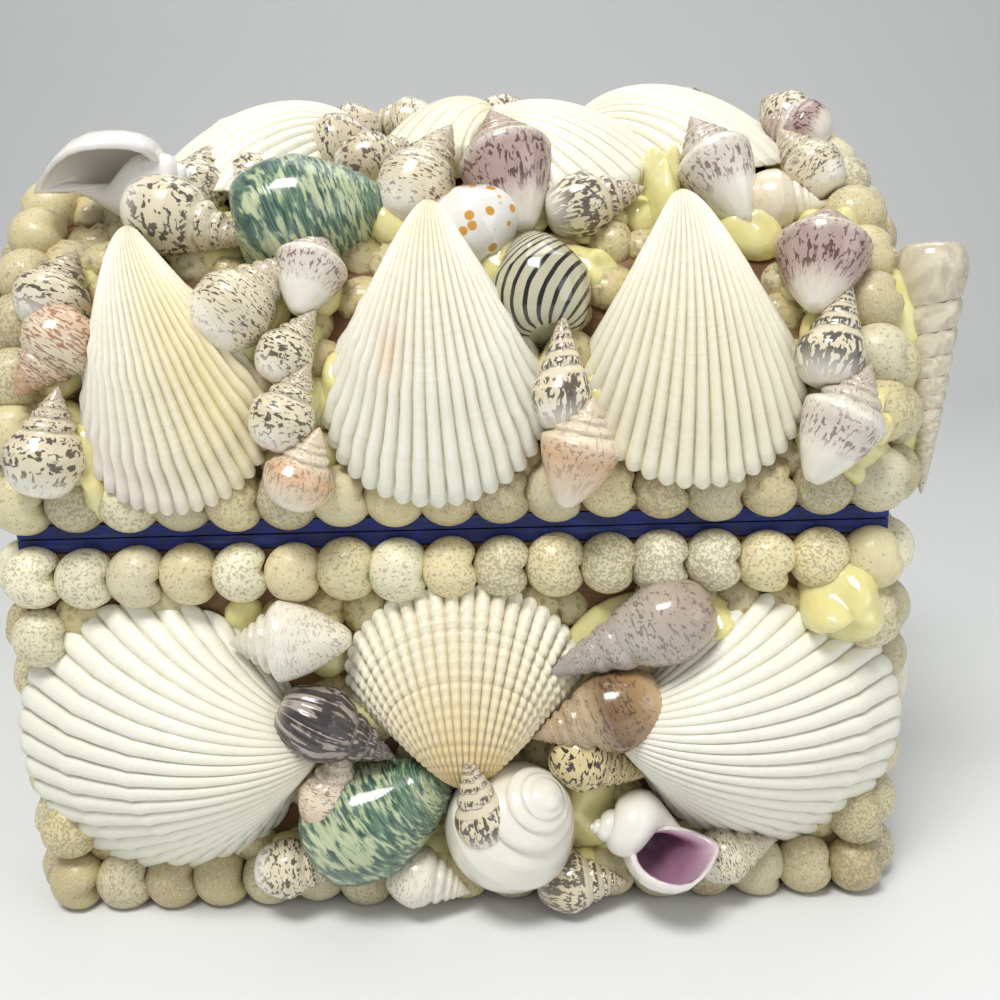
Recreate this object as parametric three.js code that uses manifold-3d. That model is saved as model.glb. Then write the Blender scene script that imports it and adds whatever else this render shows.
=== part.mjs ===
// A domed souvenir casket covered with sea shells.
//
// Millimetres. +X runs to the right along the casket's length, the front faces -Y and +Z is up.
// The origin is the centre of the flat underside.
//
// A card box and a domed card lid, both lined in blue, carry the shells. Rows of button snails run
// along every edge, bivalve halves stand on the broad faces, and snails fill the room between them.
// The lid lifts off: it only rests on the base.

import * as THREE from "three";
import { mergeVertices } from "three/addons/utils/BufferGeometryUtils.js";
import Module from "manifold-3d";

const wasm = await Module();
wasm.setup();

// ---------------------------------------------------------------- driving dimensions

const HALF_LENGTH = 88;       // card box, along X
const HALF_DEPTH = 63.5;      // card box, along Y, and the radius of the lid's dome
const WALL = 3;               // card walls, floor and dome
const RIM_Z = 83;             // where the base's rim ends; the lid rests one gap above
const LINING = 1;             // thickness of the blue lining
const FLANGE = 2.7;           // height of the lining where it is turned over a rim
const GAP = 0.3;              // left between touching pieces
const DOME_Z = 92;            // height of the dome's axis
const DOME_STEPS = 18;        // facets round the half circle

const BEAD_PITCH = 10.6;      // one button snail and the next
const BEAD_HALF_WIDTH = 5.3;
const BEAD_HEIGHT = 7.2;      // how far a button snail stands off the card
const WAIST_HALF_WIDTH = 3;   // a row's section where two button snails meet
const WAIST_HEIGHT = 4.2;
const LONG_ROW = 17;          // button snails along the front and the back
const SHORT_ROW = 12;         // and along each end
const BASE_TOP_ROW_Z = 75.5;
const BASE_BOTTOM_ROW_Z = 5.7;
const LID_ROW_Z = 91;

const PLAIN_COUNT = 12;       // points on the margin of a valve without ribs
const CUT_ROOM = 1.2;         // how much a cutter is larger than the shell that it stands for
const CUT_SPREAD = 1.08;      // and how many times wider a valve's cutter opens

const DOME_RIM_LENGTH = DOME_Z - RIM_Z - GAP;    // upright part of the lid, below its dome

// ---------------------------------------------------------------- solids

function solidOf(points, triangles) {
  const vertProperties = new Float32Array(points.flatMap((point) => [point.x, point.y, point.z]));
  let volume = 0;
  for (const [a, b, c] of triangles) {
    volume += points[a].dot(new THREE.Vector3().crossVectors(points[b], points[c]));
  }
  const outward = volume > 0 ? triangles : triangles.map(([a, b, c]) => [a, c, b]);
  return new wasm.Manifold(new wasm.Mesh({
    numProp: 3,
    vertProperties,
    triVerts: new Uint32Array(outward.flat()),
  }));
}

function solidFromGeometry(geometry) {
  geometry.deleteAttribute("normal");
  geometry.deleteAttribute("uv");
  const merged = mergeVertices(geometry);
  return new wasm.Manifold(new wasm.Mesh({
    numProp: 3,
    vertProperties: new Float32Array(merged.attributes.position.array),
    triVerts: new Uint32Array(merged.index.array),
  }));
}

// A closed body through sections with equal point counts. Each end is flat, and the whole of it is
// in sight of the section's first point. A looped loft has no ends: its last section meets its first.
function loft(sections, looped = false) {
  const size = sections[0].length;
  const points = sections.flat();
  const triangles = [];
  const spans = looped ? sections.length : sections.length - 1;
  for (let i = 0; i < spans; i += 1) {
    const here = i * size;
    const there = ((i + 1) % sections.length) * size;
    for (let j = 0; j < size; j += 1) {
      const next = (j + 1) % size;
      triangles.push([here + j, here + next, there + next], [here + j, there + next, there + j]);
    }
  }
  if (looped) {
    return solidOf(points, triangles);
  }
  const last = (sections.length - 1) * size;
  for (let j = 1; j + 1 < size; j += 1) {
    triangles.push([0, j + 1, j], [last, last + j, last + j + 1]);
  }
  return solidOf(points, triangles);
}

// A closed body through rings, drawn to a point at both ends.
function spindle(start, rings, end) {
  const size = rings[0].length;
  const points = [start, ...rings.flat(), end];
  const triangles = [];
  const last = 1 + (rings.length - 1) * size;
  for (let j = 0; j < size; j += 1) {
    const next = (j + 1) % size;
    triangles.push([0, 1 + next, 1 + j]);
    triangles.push([points.length - 1, last + j, last + next]);
    for (let i = 0; i + 1 < rings.length; i += 1) {
      const a = 1 + i * size + j;
      const b = 1 + i * size + next;
      triangles.push([a, b, b + size], [a, b + size, a + size]);
    }
  }
  return solidOf(points, triangles);
}

function united(solids) {
  return solids.reduce((sum, solid) => sum.add(solid));
}

function less(solid, cutters) {
  return cutters.reduce((rest, cutter) => rest.subtract(cutter), solid);
}

// The largest body of what a cut has left.
function mainBody(solid) {
  const bodies = solid.decompose();
  return bodies.reduce((best, body) => (body.volume() > best.volume() ? body : best));
}

// The same body, larger by room on each side of its box.
function grown(solid, room) {
  const { min, max } = solid.boundingBox();
  const centre = [0, 1, 2].map((i) => (min[i] + max[i]) / 2);
  const scale = [0, 1, 2].map((i) => 1 + 2 * room / (max[i] - min[i]));
  return solid.translate(centre.map((value) => -value)).scale(scale).translate(centre);
}

// ---------------------------------------------------------------- places on the casket

// A place is a frame on the card's surface: x to the right and y up as seen from outside, z outwards.
function place(origin, right, up, out) {
  return new THREE.Matrix4().makeBasis(right, up, out).setPosition(origin);
}

function onFront(x, z) {
  const origin = new THREE.Vector3(x, -HALF_DEPTH, z);
  return place(origin, new THREE.Vector3(1, 0, 0), new THREE.Vector3(0, 0, 1), new THREE.Vector3(0, -1, 0));
}

function onRightEnd(y, z) {
  const origin = new THREE.Vector3(HALF_LENGTH, y, z);
  return place(origin, new THREE.Vector3(0, 1, 0), new THREE.Vector3(0, 0, 1), new THREE.Vector3(1, 0, 0));
}

// On the lid, length runs up its front from the rim and over the dome.
function onLid(x, length) {
  const angle = Math.max(0, length - DOME_RIM_LENGTH) / HALF_DEPTH;
  const out = new THREE.Vector3(0, -Math.cos(angle), Math.sin(angle));
  const up = new THREE.Vector3(0, Math.sin(angle), Math.cos(angle));
  const foot = Math.min(0, length - DOME_RIM_LENGTH);
  const origin = new THREE.Vector3(x, 0, DOME_Z + foot).addScaledVector(out, HALF_DEPTH);
  return place(origin, new THREE.Vector3(1, 0, 0), up, out);
}

// The same place on the opposite side: the back for the front, the left end for the right.
function opposite(frame) {
  return new THREE.Matrix4().makeRotationZ(Math.PI).multiply(frame);
}

// A shell in its own frame, turned anticlockwise, lifted off the card, slid up it from the place
// where the card's tangent touches, and put there.
function laid(solid, { at, turn = 0, lift = 0, slide = 0 }) {
  const local = new THREE.Matrix4().makeRotationZ(THREE.MathUtils.degToRad(turn));
  local.setPosition(0, slide, lift);
  return solid.transform(at.clone().multiply(local).toArray());
}

// ---------------------------------------------------------------- shells

// Half of a bivalve, lying on its rim with its umbo towards +y. Every outline from the rim to the
// umbo is a smaller copy of the margin, turned about the hinge: the logarithmic spiral by which a
// shell grows. A small curl makes a deep valve. The margin is height long on its middle line, opens
// by spread to each side and is broader with less taper. Ribs run from the umbo to the margin.
function valve({ height, spread, taper, curl, ribs = 0, ribDepth = 0, skirt = 0 }) {
  const count = ribs > 0 ? 2 * ribs : PLAIN_COUNT;
  const halfAngle = THREE.MathUtils.degToRad(spread);
  const turns = [0, 18, 44, 92];
  const margin = [];
  for (let j = 1; j < count; j += 1) {
    const part = (2 * j) / count - 1;
    const rib = 1 + ribDepth * (j % 2 === 0 ? -1 : 1);
    const reach = height * rib * Math.cos((part * Math.PI) / 2) ** taper;
    margin.push([reach * Math.sin(part * halfAngle), reach * Math.cos(part * halfAngle)]);
  }
  const umbo = new THREE.Vector3(0, height / 2, 0);
  const size = margin.length;
  const points = [umbo];
  for (const degrees of turns) {
    const angle = THREE.MathUtils.degToRad(degrees);
    const scale = Math.exp(-curl * angle);
    for (const [x, y] of margin) {
      const offset = new THREE.Vector3(x, -y * Math.cos(angle), y * Math.sin(angle));
      points.push(offset.multiplyScalar(scale).add(umbo));
    }
  }
  const triangles = [];
  for (let i = 0; i + 1 < turns.length; i += 1) {
    const row = 1 + i * size;
    triangles.push([0, row, row + size], [0, row + 2 * size - 1, row + size - 1]);
    for (let j = 0; j + 1 < size; j += 1) {
      const a = row + j;
      triangles.push([a, a + 1, a + 1 + size], [a, a + 1 + size, a + size]);
    }
  }
  const last = 1 + (turns.length - 1) * size;
  for (let j = 0; j + 1 < size; j += 1) {
    triangles.push([0, last + j, last + j + 1]);
  }
  if (skirt === 0) {
    for (let j = 1; j < size; j += 1) {
      triangles.push([0, j + 1, j]);
    }
    return solidOf(points, triangles);
  }
  // The bed of glue that a raised valve stands on follows its rim straight down.
  const foot = points.length;
  for (const point of [umbo, ...points.slice(1, 1 + size)]) {
    points.push(new THREE.Vector3(point.x, point.y, -skirt));
  }
  for (let j = 0; j <= size; j += 1) {
    const next = (j + 1) % (size + 1);
    triangles.push([next, j, foot + j], [next, foot + j, foot + next]);
    if (j > 0 && j < size) {
      triangles.push([foot, foot + j + 1, foot + j]);
    }
  }
  return solidOf(points, triangles);
}

// A plain copy of a valve, larger by the cutting room, that makes room for it in its neighbours.
// Its umbo stays where the valve's is, and its margin reaches the crests of the valve's ribs.
function valveCutter(shape) {
  const plain = valve({
    ...shape,
    height: shape.height * (1 + (shape.ribDepth ?? 0)),
    spread: shape.spread * CUT_SPREAD,
    ribs: 0,
    ribDepth: 0,
    skirt: (shape.skirt ?? 0) + CUT_ROOM / 2,
  });
  const { min, max } = plain.boundingBox();
  const middle = (min[1] + max[1]) / 2;
  const shift = (shape.height * (shape.ribDepth ?? 0)) / 2;
  return plain
    .translate([0, -middle, 0])
    .scale([1 + CUT_ROOM / max[0], 1 + (2 * CUT_ROOM) / (max[1] - min[1]), 1 + CUT_ROOM / max[2]])
    .translate([0, middle - shift, 0]);
}

// A snail on its side, with its apex towards +y and flat where it lies. The profile gives its
// radius at heights from its mouth to its apex, both as parts of the whole.
const PROFILES = {
  nassa: [[0.1, 0.66], [0.42, 1]],
  whelk: [[0.1, 0.5], [0.3, 1], [0.55, 0.8], [0.6, 0.62], [0.82, 0.36]],
  turban: [[0.06, 0.55], [0.28, 1], [0.56, 0.92], [0.84, 0.5]],
  globe: [[0.08, 0.6], [0.34, 1], [0.66, 0.94], [0.9, 0.5]],
};

function snail({ length, width, profile, sides = 6, sunk = 0.45 }) {
  const radius = width / 2;
  const axisHeight = GAP + radius * (1 - sunk);
  const ring = ([along, across]) => Array.from({ length: sides }, (_, j) => {
    const angle = ((j + 0.5) * 2 * Math.PI) / sides;
    const x = radius * across * Math.cos(angle);
    const z = axisHeight + radius * across * Math.sin(angle);
    return new THREE.Vector3(x, (along - 0.5) * length, Math.max(GAP, z));
  });
  const start = new THREE.Vector3(0, -length / 2, axisHeight);
  const end = new THREE.Vector3(0, length / 2, axisHeight);
  return spindle(start, PROFILES[profile].map(ring), end);
}

// A long auger, its whorls as a row of cones that each start wider than the last one ended.
function auger({ length, width, whorls, sides }) {
  const sections = [];
  const step = length / whorls;
  const ring = (y, radius) => sections.push(Array.from({ length: sides }, (_, j) => {
    const angle = (j * 2 * Math.PI) / sides;
    return new THREE.Vector3(radius * Math.cos(angle), y - length / 2, radius * Math.sin(angle));
  }));
  for (let i = 0; i < whorls; i += 1) {
    const radius = (width / 2) * (1 - (0.88 * i) / whorls);
    ring(i * step, radius * 0.86);
    ring((i + 0.7) * step, radius);
  }
  ring(length, width * 0.03);
  return loft(sections);
}

// A dome that follows a snail laid mouth down, such as a nerite or a moon snail.
function domeSnail({ length, width, height, sides }) {
  const rings = [[0, 0.94], [0.4, 1], [0.78, 0.7]].map(([up, across]) => (
    Array.from({ length: sides }, (_, j) => {
      const angle = (j * 2 * Math.PI) / sides;
      return new THREE.Vector3(
        (width / 2) * across * Math.cos(angle),
        (length / 2) * across * Math.sin(angle),
        GAP + up * height,
      );
    })
  ));
  return spindle(new THREE.Vector3(0, 0, GAP), rings, new THREE.Vector3(0, 0, GAP + height));
}

// ---------------------------------------------------------------- rows of button snails

// A row is one body. Its section is wide and high in the middle of each snail and narrow at the
// waist between two. The numbers of a section are distances from the card's face.
const BEAD = { halfWidth: BEAD_HALF_WIDTH, height: BEAD_HEIGHT };
const WAIST = { halfWidth: WAIST_HALF_WIDTH, height: WAIST_HEIGHT };

// The section of a row on one face, in the place's own y and z, with room on every side.
function faceSection(frame, { halfWidth, height }, room) {
  const outline = [[-halfWidth - room, GAP - room], [0, height + room], [halfWidth + room, GAP - room]];
  return outline.map(([across, out]) => new THREE.Vector3(0, across, out).applyMatrix4(frame));
}

// A place on one of the card's four upright edges, facing out between its two faces.
function onCorner(signX, signY, z) {
  const out = new THREE.Vector3(signX, signY, 0).normalize();
  const origin = new THREE.Vector3(signX * HALF_LENGTH, signY * HALF_DEPTH, z);
  origin.addScaledVector(out, GAP / 2);
  return place(origin, new THREE.Vector3(-out.y, out.x, 0), new THREE.Vector3(0, 0, 1), out);
}

// A closed ring of button snails round the box at one height.
function beadRing(z, room = 0) {
  const sections = [];
  const side = (count, pitch, face) => {
    for (let i = 0; i < count; i += 1) {
      const middle = (i - (count - 1) / 2) * pitch;
      sections.push(faceSection(face(middle), BEAD, room));
      if (i + 1 < count) {
        sections.push(faceSection(face(middle + pitch / 2), WAIST, room));
      }
    }
  };
  const corner = (signX, signY) => sections.push(faceSection(onCorner(signX, signY, z), WAIST, room));
  const shortPitch = (2 * HALF_DEPTH) / SHORT_ROW;
  side(LONG_ROW, BEAD_PITCH, (x) => onFront(x, z));
  corner(1, -1);
  side(SHORT_ROW, shortPitch, (y) => onRightEnd(y, z));
  corner(1, 1);
  side(LONG_ROW, BEAD_PITCH, (x) => opposite(onFront(x, z)));
  corner(-1, 1);
  side(SHORT_ROW, shortPitch, (y) => opposite(onRightEnd(y, z)));
  corner(-1, -1);
  return loft(sections, true);
}

// Two rows side by side over an edge of the card, one on each face, as one body. placeAt gives a
// frame on the edge at a distance along it: x along the edge, y out of the main face and z out of
// the end face. Where the main face has no snail, its half of the section is only a lip of glue.
const EDGE = { inset: 3.2, endInset: 5.5, lip: 1.2, thinLip: 0.8 };

function edgeSection(frame, { halfWidth, height }, onMainFace, room) {
  const mainHeight = onMainFace ? height : EDGE.thinLip;
  const mainReach = onMainFace ? EDGE.inset + halfWidth : EDGE.inset;
  const outline = [
    [GAP - room, GAP - room],
    [GAP - room, -mainReach - room],
    [mainHeight + room, -EDGE.inset],
    [EDGE.lip + room, EDGE.lip + room],
    [-EDGE.endInset, height + room],
    [-EDGE.endInset - halfWidth - room, GAP - room],
  ];
  return outline.map(([main, end]) => new THREE.Vector3(0, main, end).applyMatrix4(frame));
}

function edgeRow({ count, pitch, placeAt, onMainFace = () => true, room = 0 }) {
  const sections = [edgeSection(placeAt(-room), WAIST, onMainFace(0), room)];
  for (let i = 0; i < count; i += 1) {
    const last = i + 1 === count;
    const shared = onMainFace(i) && (last || onMainFace(i + 1));
    sections.push(edgeSection(placeAt((i + 0.5) * pitch), BEAD, onMainFace(i), room));
    sections.push(edgeSection(placeAt((i + 1) * pitch + (last ? room : 0)), WAIST, shared, room));
  }
  return loft(sections);
}

// Button snails up the front right corner; on the front, the big valve leaves room for a few only.
const CORNER = { count: 5, pitch: 11.2, foot: 12.6, besideValve: [0, 4] };

function cornerBeads(besideValve, room = 0) {
  return edgeRow({
    count: CORNER.count,
    pitch: CORNER.pitch,
    placeAt: (distance) => new THREE.Matrix4().makeBasis(
      new THREE.Vector3(0, 0, 1),
      new THREE.Vector3(0, -1, 0),
      new THREE.Vector3(1, 0, 0),
    ).setPosition(HALF_LENGTH, -HALF_DEPTH, CORNER.foot + distance),
    onMainFace: (i) => !besideValve || CORNER.besideValve.includes(i),
    room,
  });
}

// Button snails over the lid's right arched edge, on the dome and on the end face.
const ARCH = { count: 17, start: THREE.MathUtils.degToRad(6.5) };

function archBeads(room = 0) {
  const sweep = Math.PI - 2 * ARCH.start;
  return edgeRow({
    count: ARCH.count,
    pitch: (sweep * HALF_DEPTH) / ARCH.count,
    placeAt: (distance) => {
      const angle = ARCH.start + distance / HALF_DEPTH;
      const out = new THREE.Vector3(0, -Math.cos(angle), Math.sin(angle));
      const along = new THREE.Vector3(0, Math.sin(angle), Math.cos(angle));
      const edge = new THREE.Vector3(HALF_LENGTH, 0, DOME_Z).addScaledVector(out, HALF_DEPTH);
      return new THREE.Matrix4().makeBasis(along, out, new THREE.Vector3(1, 0, 0)).setPosition(edge);
    },
    room,
  });
}

// ---------------------------------------------------------------- card and lining

function boxBetween(low, high) {
  const size = high.map((value, i) => value - low[i]);
  const geometry = new THREE.BoxGeometry(...size);
  geometry.translate(...high.map((value, i) => (value + low[i]) / 2));
  return solidFromGeometry(geometry);
}

// The lid's solid form: an arch of this radius on upright sides, from bottom to the dome's top.
function archBody(radius, halfLength, bottom) {
  const outline = new THREE.Shape();
  outline.moveTo(radius, bottom - DOME_Z);
  for (let i = 0; i <= DOME_STEPS; i += 1) {
    const angle = (i * Math.PI) / DOME_STEPS;
    outline.lineTo(radius * Math.cos(angle), radius * Math.sin(angle));
  }
  outline.lineTo(-radius, bottom - DOME_Z);
  outline.closePath();
  const geometry = new THREE.ExtrudeGeometry(outline, { depth: 2 * halfLength, bevelEnabled: false });
  geometry.translate(0, 0, -halfLength);
  geometry.applyMatrix4(new THREE.Matrix4().makeBasis(
    new THREE.Vector3(0, 1, 0),
    new THREE.Vector3(0, 0, 1),
    new THREE.Vector3(1, 0, 0),
  ));
  geometry.translate(0, 0, DOME_Z);
  return solidFromGeometry(geometry);
}

const BASE_RIM = RIM_Z - FLANGE;                 // top of the lining's turned edge is RIM_Z
const LID_RIM = RIM_Z + GAP + FLANGE;            // bottom of the lid's card
const LINING_OUT = WALL + GAP;                   // from the card's outside to the lining
const LINING_IN = LINING_OUT + LINING;
const BEYOND = 10;                               // how far a cut runs past an open face

function baseBox() {
  const body = boxBetween([-HALF_LENGTH, -HALF_DEPTH, 0], [HALF_LENGTH, HALF_DEPTH, BASE_RIM - GAP]);
  const inside = boxBetween(
    [WALL - HALF_LENGTH, WALL - HALF_DEPTH, WALL],
    [HALF_LENGTH - WALL, HALF_DEPTH - WALL, RIM_Z + BEYOND],
  );
  return body.subtract(inside);
}

function baseLining() {
  const tray = boxBetween(
    [LINING_OUT - HALF_LENGTH, LINING_OUT - HALF_DEPTH, LINING_OUT],
    [HALF_LENGTH - LINING_OUT, HALF_DEPTH - LINING_OUT, RIM_Z],
  );
  const edge = boxBetween([-HALF_LENGTH, -HALF_DEPTH, BASE_RIM], [HALF_LENGTH, HALF_DEPTH, RIM_Z]);
  const inside = boxBetween(
    [LINING_IN - HALF_LENGTH, LINING_IN - HALF_DEPTH, LINING_IN],
    [HALF_LENGTH - LINING_IN, HALF_DEPTH - LINING_IN, RIM_Z + BEYOND],
  );
  return tray.add(edge).subtract(inside);
}

function lidShell() {
  const body = archBody(HALF_DEPTH, HALF_LENGTH, LID_RIM + GAP);
  return body.subtract(archBody(HALF_DEPTH - WALL, HALF_LENGTH - WALL, RIM_Z - BEYOND));
}

function lidLining() {
  const skin = archBody(HALF_DEPTH - LINING_OUT, HALF_LENGTH - LINING_OUT, RIM_Z + GAP);
  const edge = boxBetween([-HALF_LENGTH, -HALF_DEPTH, RIM_Z + GAP], [HALF_LENGTH, HALF_DEPTH, LID_RIM]);
  const inside = archBody(HALF_DEPTH - LINING_IN, HALF_LENGTH - LINING_IN, RIM_Z - BEYOND);
  return skin.add(edge).subtract(inside);
}

// ---------------------------------------------------------------- what is glued where

const FAN = { spread: 38.5, taper: 0.27, curl: 1.35, ribs: 16, ribDepth: 0.022 };
const ROUND = { spread: 80, taper: 0.7, curl: 1.1, ribs: 16, ribDepth: 0.022 };
const PLAIN_FAN = { spread: 42, taper: 0.27, curl: 1.35, ribs: 7, ribDepth: 0.03 };
const PLAIN_ROUND = { spread: 76, taper: 0.6, curl: 1.15, ribs: 7, ribDepth: 0.03 };

// A valve of the lid's front leans out at its foot, over the row of button snails there.
const LEANING = { lift: 1.2, slide: -5 };
const LEAN = 5;               // how far above a leaning valve's middle the card's tangent touches

// Valves, in the order in which they make room for each other.
const VALVES = [
  {
    name: "lid_front_valve_left",
    at: onLid(-55, 32.5 + LEAN),
    turn: 14.6,
    ...LEANING,
    shape: { ...FAN, height: 58, spread: 34 },
  },
  {
    name: "lid_front_valve_centre",
    at: onLid(-2, 34 + LEAN),
    turn: 1,
    ...LEANING,
    shape: { ...FAN, height: 60.5 },
  },
  {
    name: "lid_front_valve_right",
    at: onLid(48.4, 35.5 + LEAN),
    turn: 1,
    ...LEANING,
    shape: { ...FAN, height: 59.3 },
  },
  {
    name: "base_left_ark",
    at: onFront(-62.5, 38.5),
    turn: -90,
    lift: 1.2,
    shape: { ...ROUND, height: 62 },
  },
  {
    name: "base_right_ark",
    at: onFront(63.8, 39.5),
    turn: 86,
    lift: 1.2,
    shape: { ...ROUND, height: 58.5, spread: 76 },
  },
  {
    name: "base_lattice_cockle",
    at: onFront(1.5, 52.4),
    turn: 180,
    lift: 3,
    shape: { height: 42, spread: 60, taper: 0.2, curl: 1.05, ribs: 16, ribDepth: 0.02, skirt: 2.4 },
  },
  {
    name: "lid_crown_cockle",
    at: onLid(-44, 97),
    turn: -82,
    lift: 1.2,
    shape: { height: 48, spread: 78, taper: 0.6, curl: 1, ribs: 12, ribDepth: 0.024 },
  },
  {
    name: "lid_crown_scallop_large",
    at: onLid(55, 99),
    turn: 80,
    lift: 1.6,
    shape: { height: 50, spread: 58, taper: 0.35, curl: 1, ribs: 12, ribDepth: 0.024 },
  },
  {
    name: "lid_crown_scallop_small",
    at: onLid(26, 83),
    turn: 84,
    lift: 7,
    shape: { height: 38, spread: 62, taper: 0.4, curl: 1.15, ribs: 10, ribDepth: 0.02, skirt: 6 },
  },
  {
    name: "lid_crown_clam",
    at: onLid(-1, 97),
    turn: -50,
    lift: 7,
    shape: { height: 28, spread: 70, taper: 0.5, curl: 0.95, skirt: 6 },
  },
  ...[-54, 0, 54].map((x, i) => ({
    name: `back_lid_valve_${["left", "centre", "right"][i]}`,
    at: opposite(onLid(x, 33 + LEAN)),
    turn: -x / 14,
    ...LEANING,
    shape: { ...PLAIN_FAN, height: 58 },
  })),
  ...[-58, 0, 58].map((x, i) => ({
    name: `back_base_valve_${["left", "centre", "right"][i]}`,
    at: opposite(onFront(x, x === 0 ? 43 : 40)),
    turn: x === 0 ? 180 : Math.sign(x) * 90,
    lift: 1.2,
    shape: { ...PLAIN_ROUND, height: x === 0 ? 46 : 52 },
  })),
  ...[["right", onRightEnd], ["left", (y, z) => opposite(onRightEnd(-y, z))]].flatMap(([side, face]) => {
    const turn = side === "right" ? 1 : -1;
    return [
      {
        name: `end_${side}_front_valve`,
        at: face(-26, 41),
        turn: 98 * turn,
        lift: 1.2,
        shape: { ...PLAIN_ROUND, height: 50 },
      },
      {
        name: `end_${side}_back_valve`,
        at: face(27, 41),
        turn: -84 * turn,
        lift: 1.2,
        shape: { ...PLAIN_ROUND, height: 47 },
      },
      {
        name: `end_${side}_lid_valve`,
        at: face(8, 119.5),
        turn: 4 * turn,
        lift: 1.2,
        shape: { ...PLAIN_FAN, height: 41 },
      },
    ];
  }),
];

const AUGER_LIFT = 10.4;      // an auger lies over a row of button snails, on a deep bed of glue

const SNAILS = [
  {
    name: "lid_green_turban",
    colour: "turban",
    at: onLid(-26.5, 65),
    turn: -78,
    solid: snail({ length: 31, width: 22, profile: "turban", sides: 8 }),
  },
  {
    name: "lid_conch",
    at: onLid(-70, 73),
    turn: -33,
    solid: snail({ length: 33, width: 20, profile: "whelk", sides: 8, sunk: 0.25 }),
  },
  {
    name: "lid_striped_nerite",
    colour: "stripes",
    at: onLid(19.2, 48),
    turn: 0,
    solid: domeSnail({ length: 21, width: 18, height: 11, sides: 8 }),
  },
  {
    name: "base_moon_snail",
    at: onFront(12, 20.5),
    turn: 0,
    solid: domeSnail({ length: 27, width: 27, height: 17, sides: 10 }),
  },
  {
    name: "base_green_turban",
    colour: "turban",
    at: onFront(-16.3, 23.5),
    turn: -66,
    solid: snail({ length: 31, width: 22, profile: "turban", sides: 8 }),
  },
  {
    name: "base_purple_snail",
    at: onFront(37, 19),
    turn: 35,
    solid: snail({ length: 26, width: 21, profile: "globe", sides: 8 }),
  },
  {
    name: "base_middle_snail",
    at: onFront(4, 31),
    turn: 11,
    lift: 9,
    solid: snail({ length: 20, width: 10.5, profile: "nassa", sides: 8, sunk: 0.1 }),
  },
  {
    name: "end_right_auger",
    at: onRightEnd(-53, 111),
    turn: 176,
    lift: AUGER_LIFT,
    solid: auger({ length: 50, width: 12.5, whorls: 6, sides: 7 }),
    bed: boxBetween([-2.4, -17, GAP - AUGER_LIFT], [2.4, 17, 0]),
  },
  {
    name: "end_left_auger",
    at: opposite(onRightEnd(50, 111)),
    turn: 184,
    lift: AUGER_LIFT,
    solid: auger({ length: 50, width: 12.5, whorls: 6, sides: 7 }),
    bed: boxBetween([-2.4, -17, GAP - AUGER_LIFT], [2.4, 17, 0]),
  },
];

// Small snails that share a bed of glue: place along and up the face, length, width and turn, and
// how far one is lifted. The bed runs from the first place of its line to the last.
const ON_FRONT = { frame: onFront };
const ON_LID = { frame: onLid, curved: true };
const ON_BACK = { frame: (x, z) => opposite(onFront(x, z)) };
const ON_BACK_LID = { frame: (x, length) => opposite(onLid(x, length)), curved: true };
const ON_RIGHT = { frame: onRightEnd };
const ON_LEFT = { frame: (y, z) => opposite(onRightEnd(y, z)) };

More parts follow.
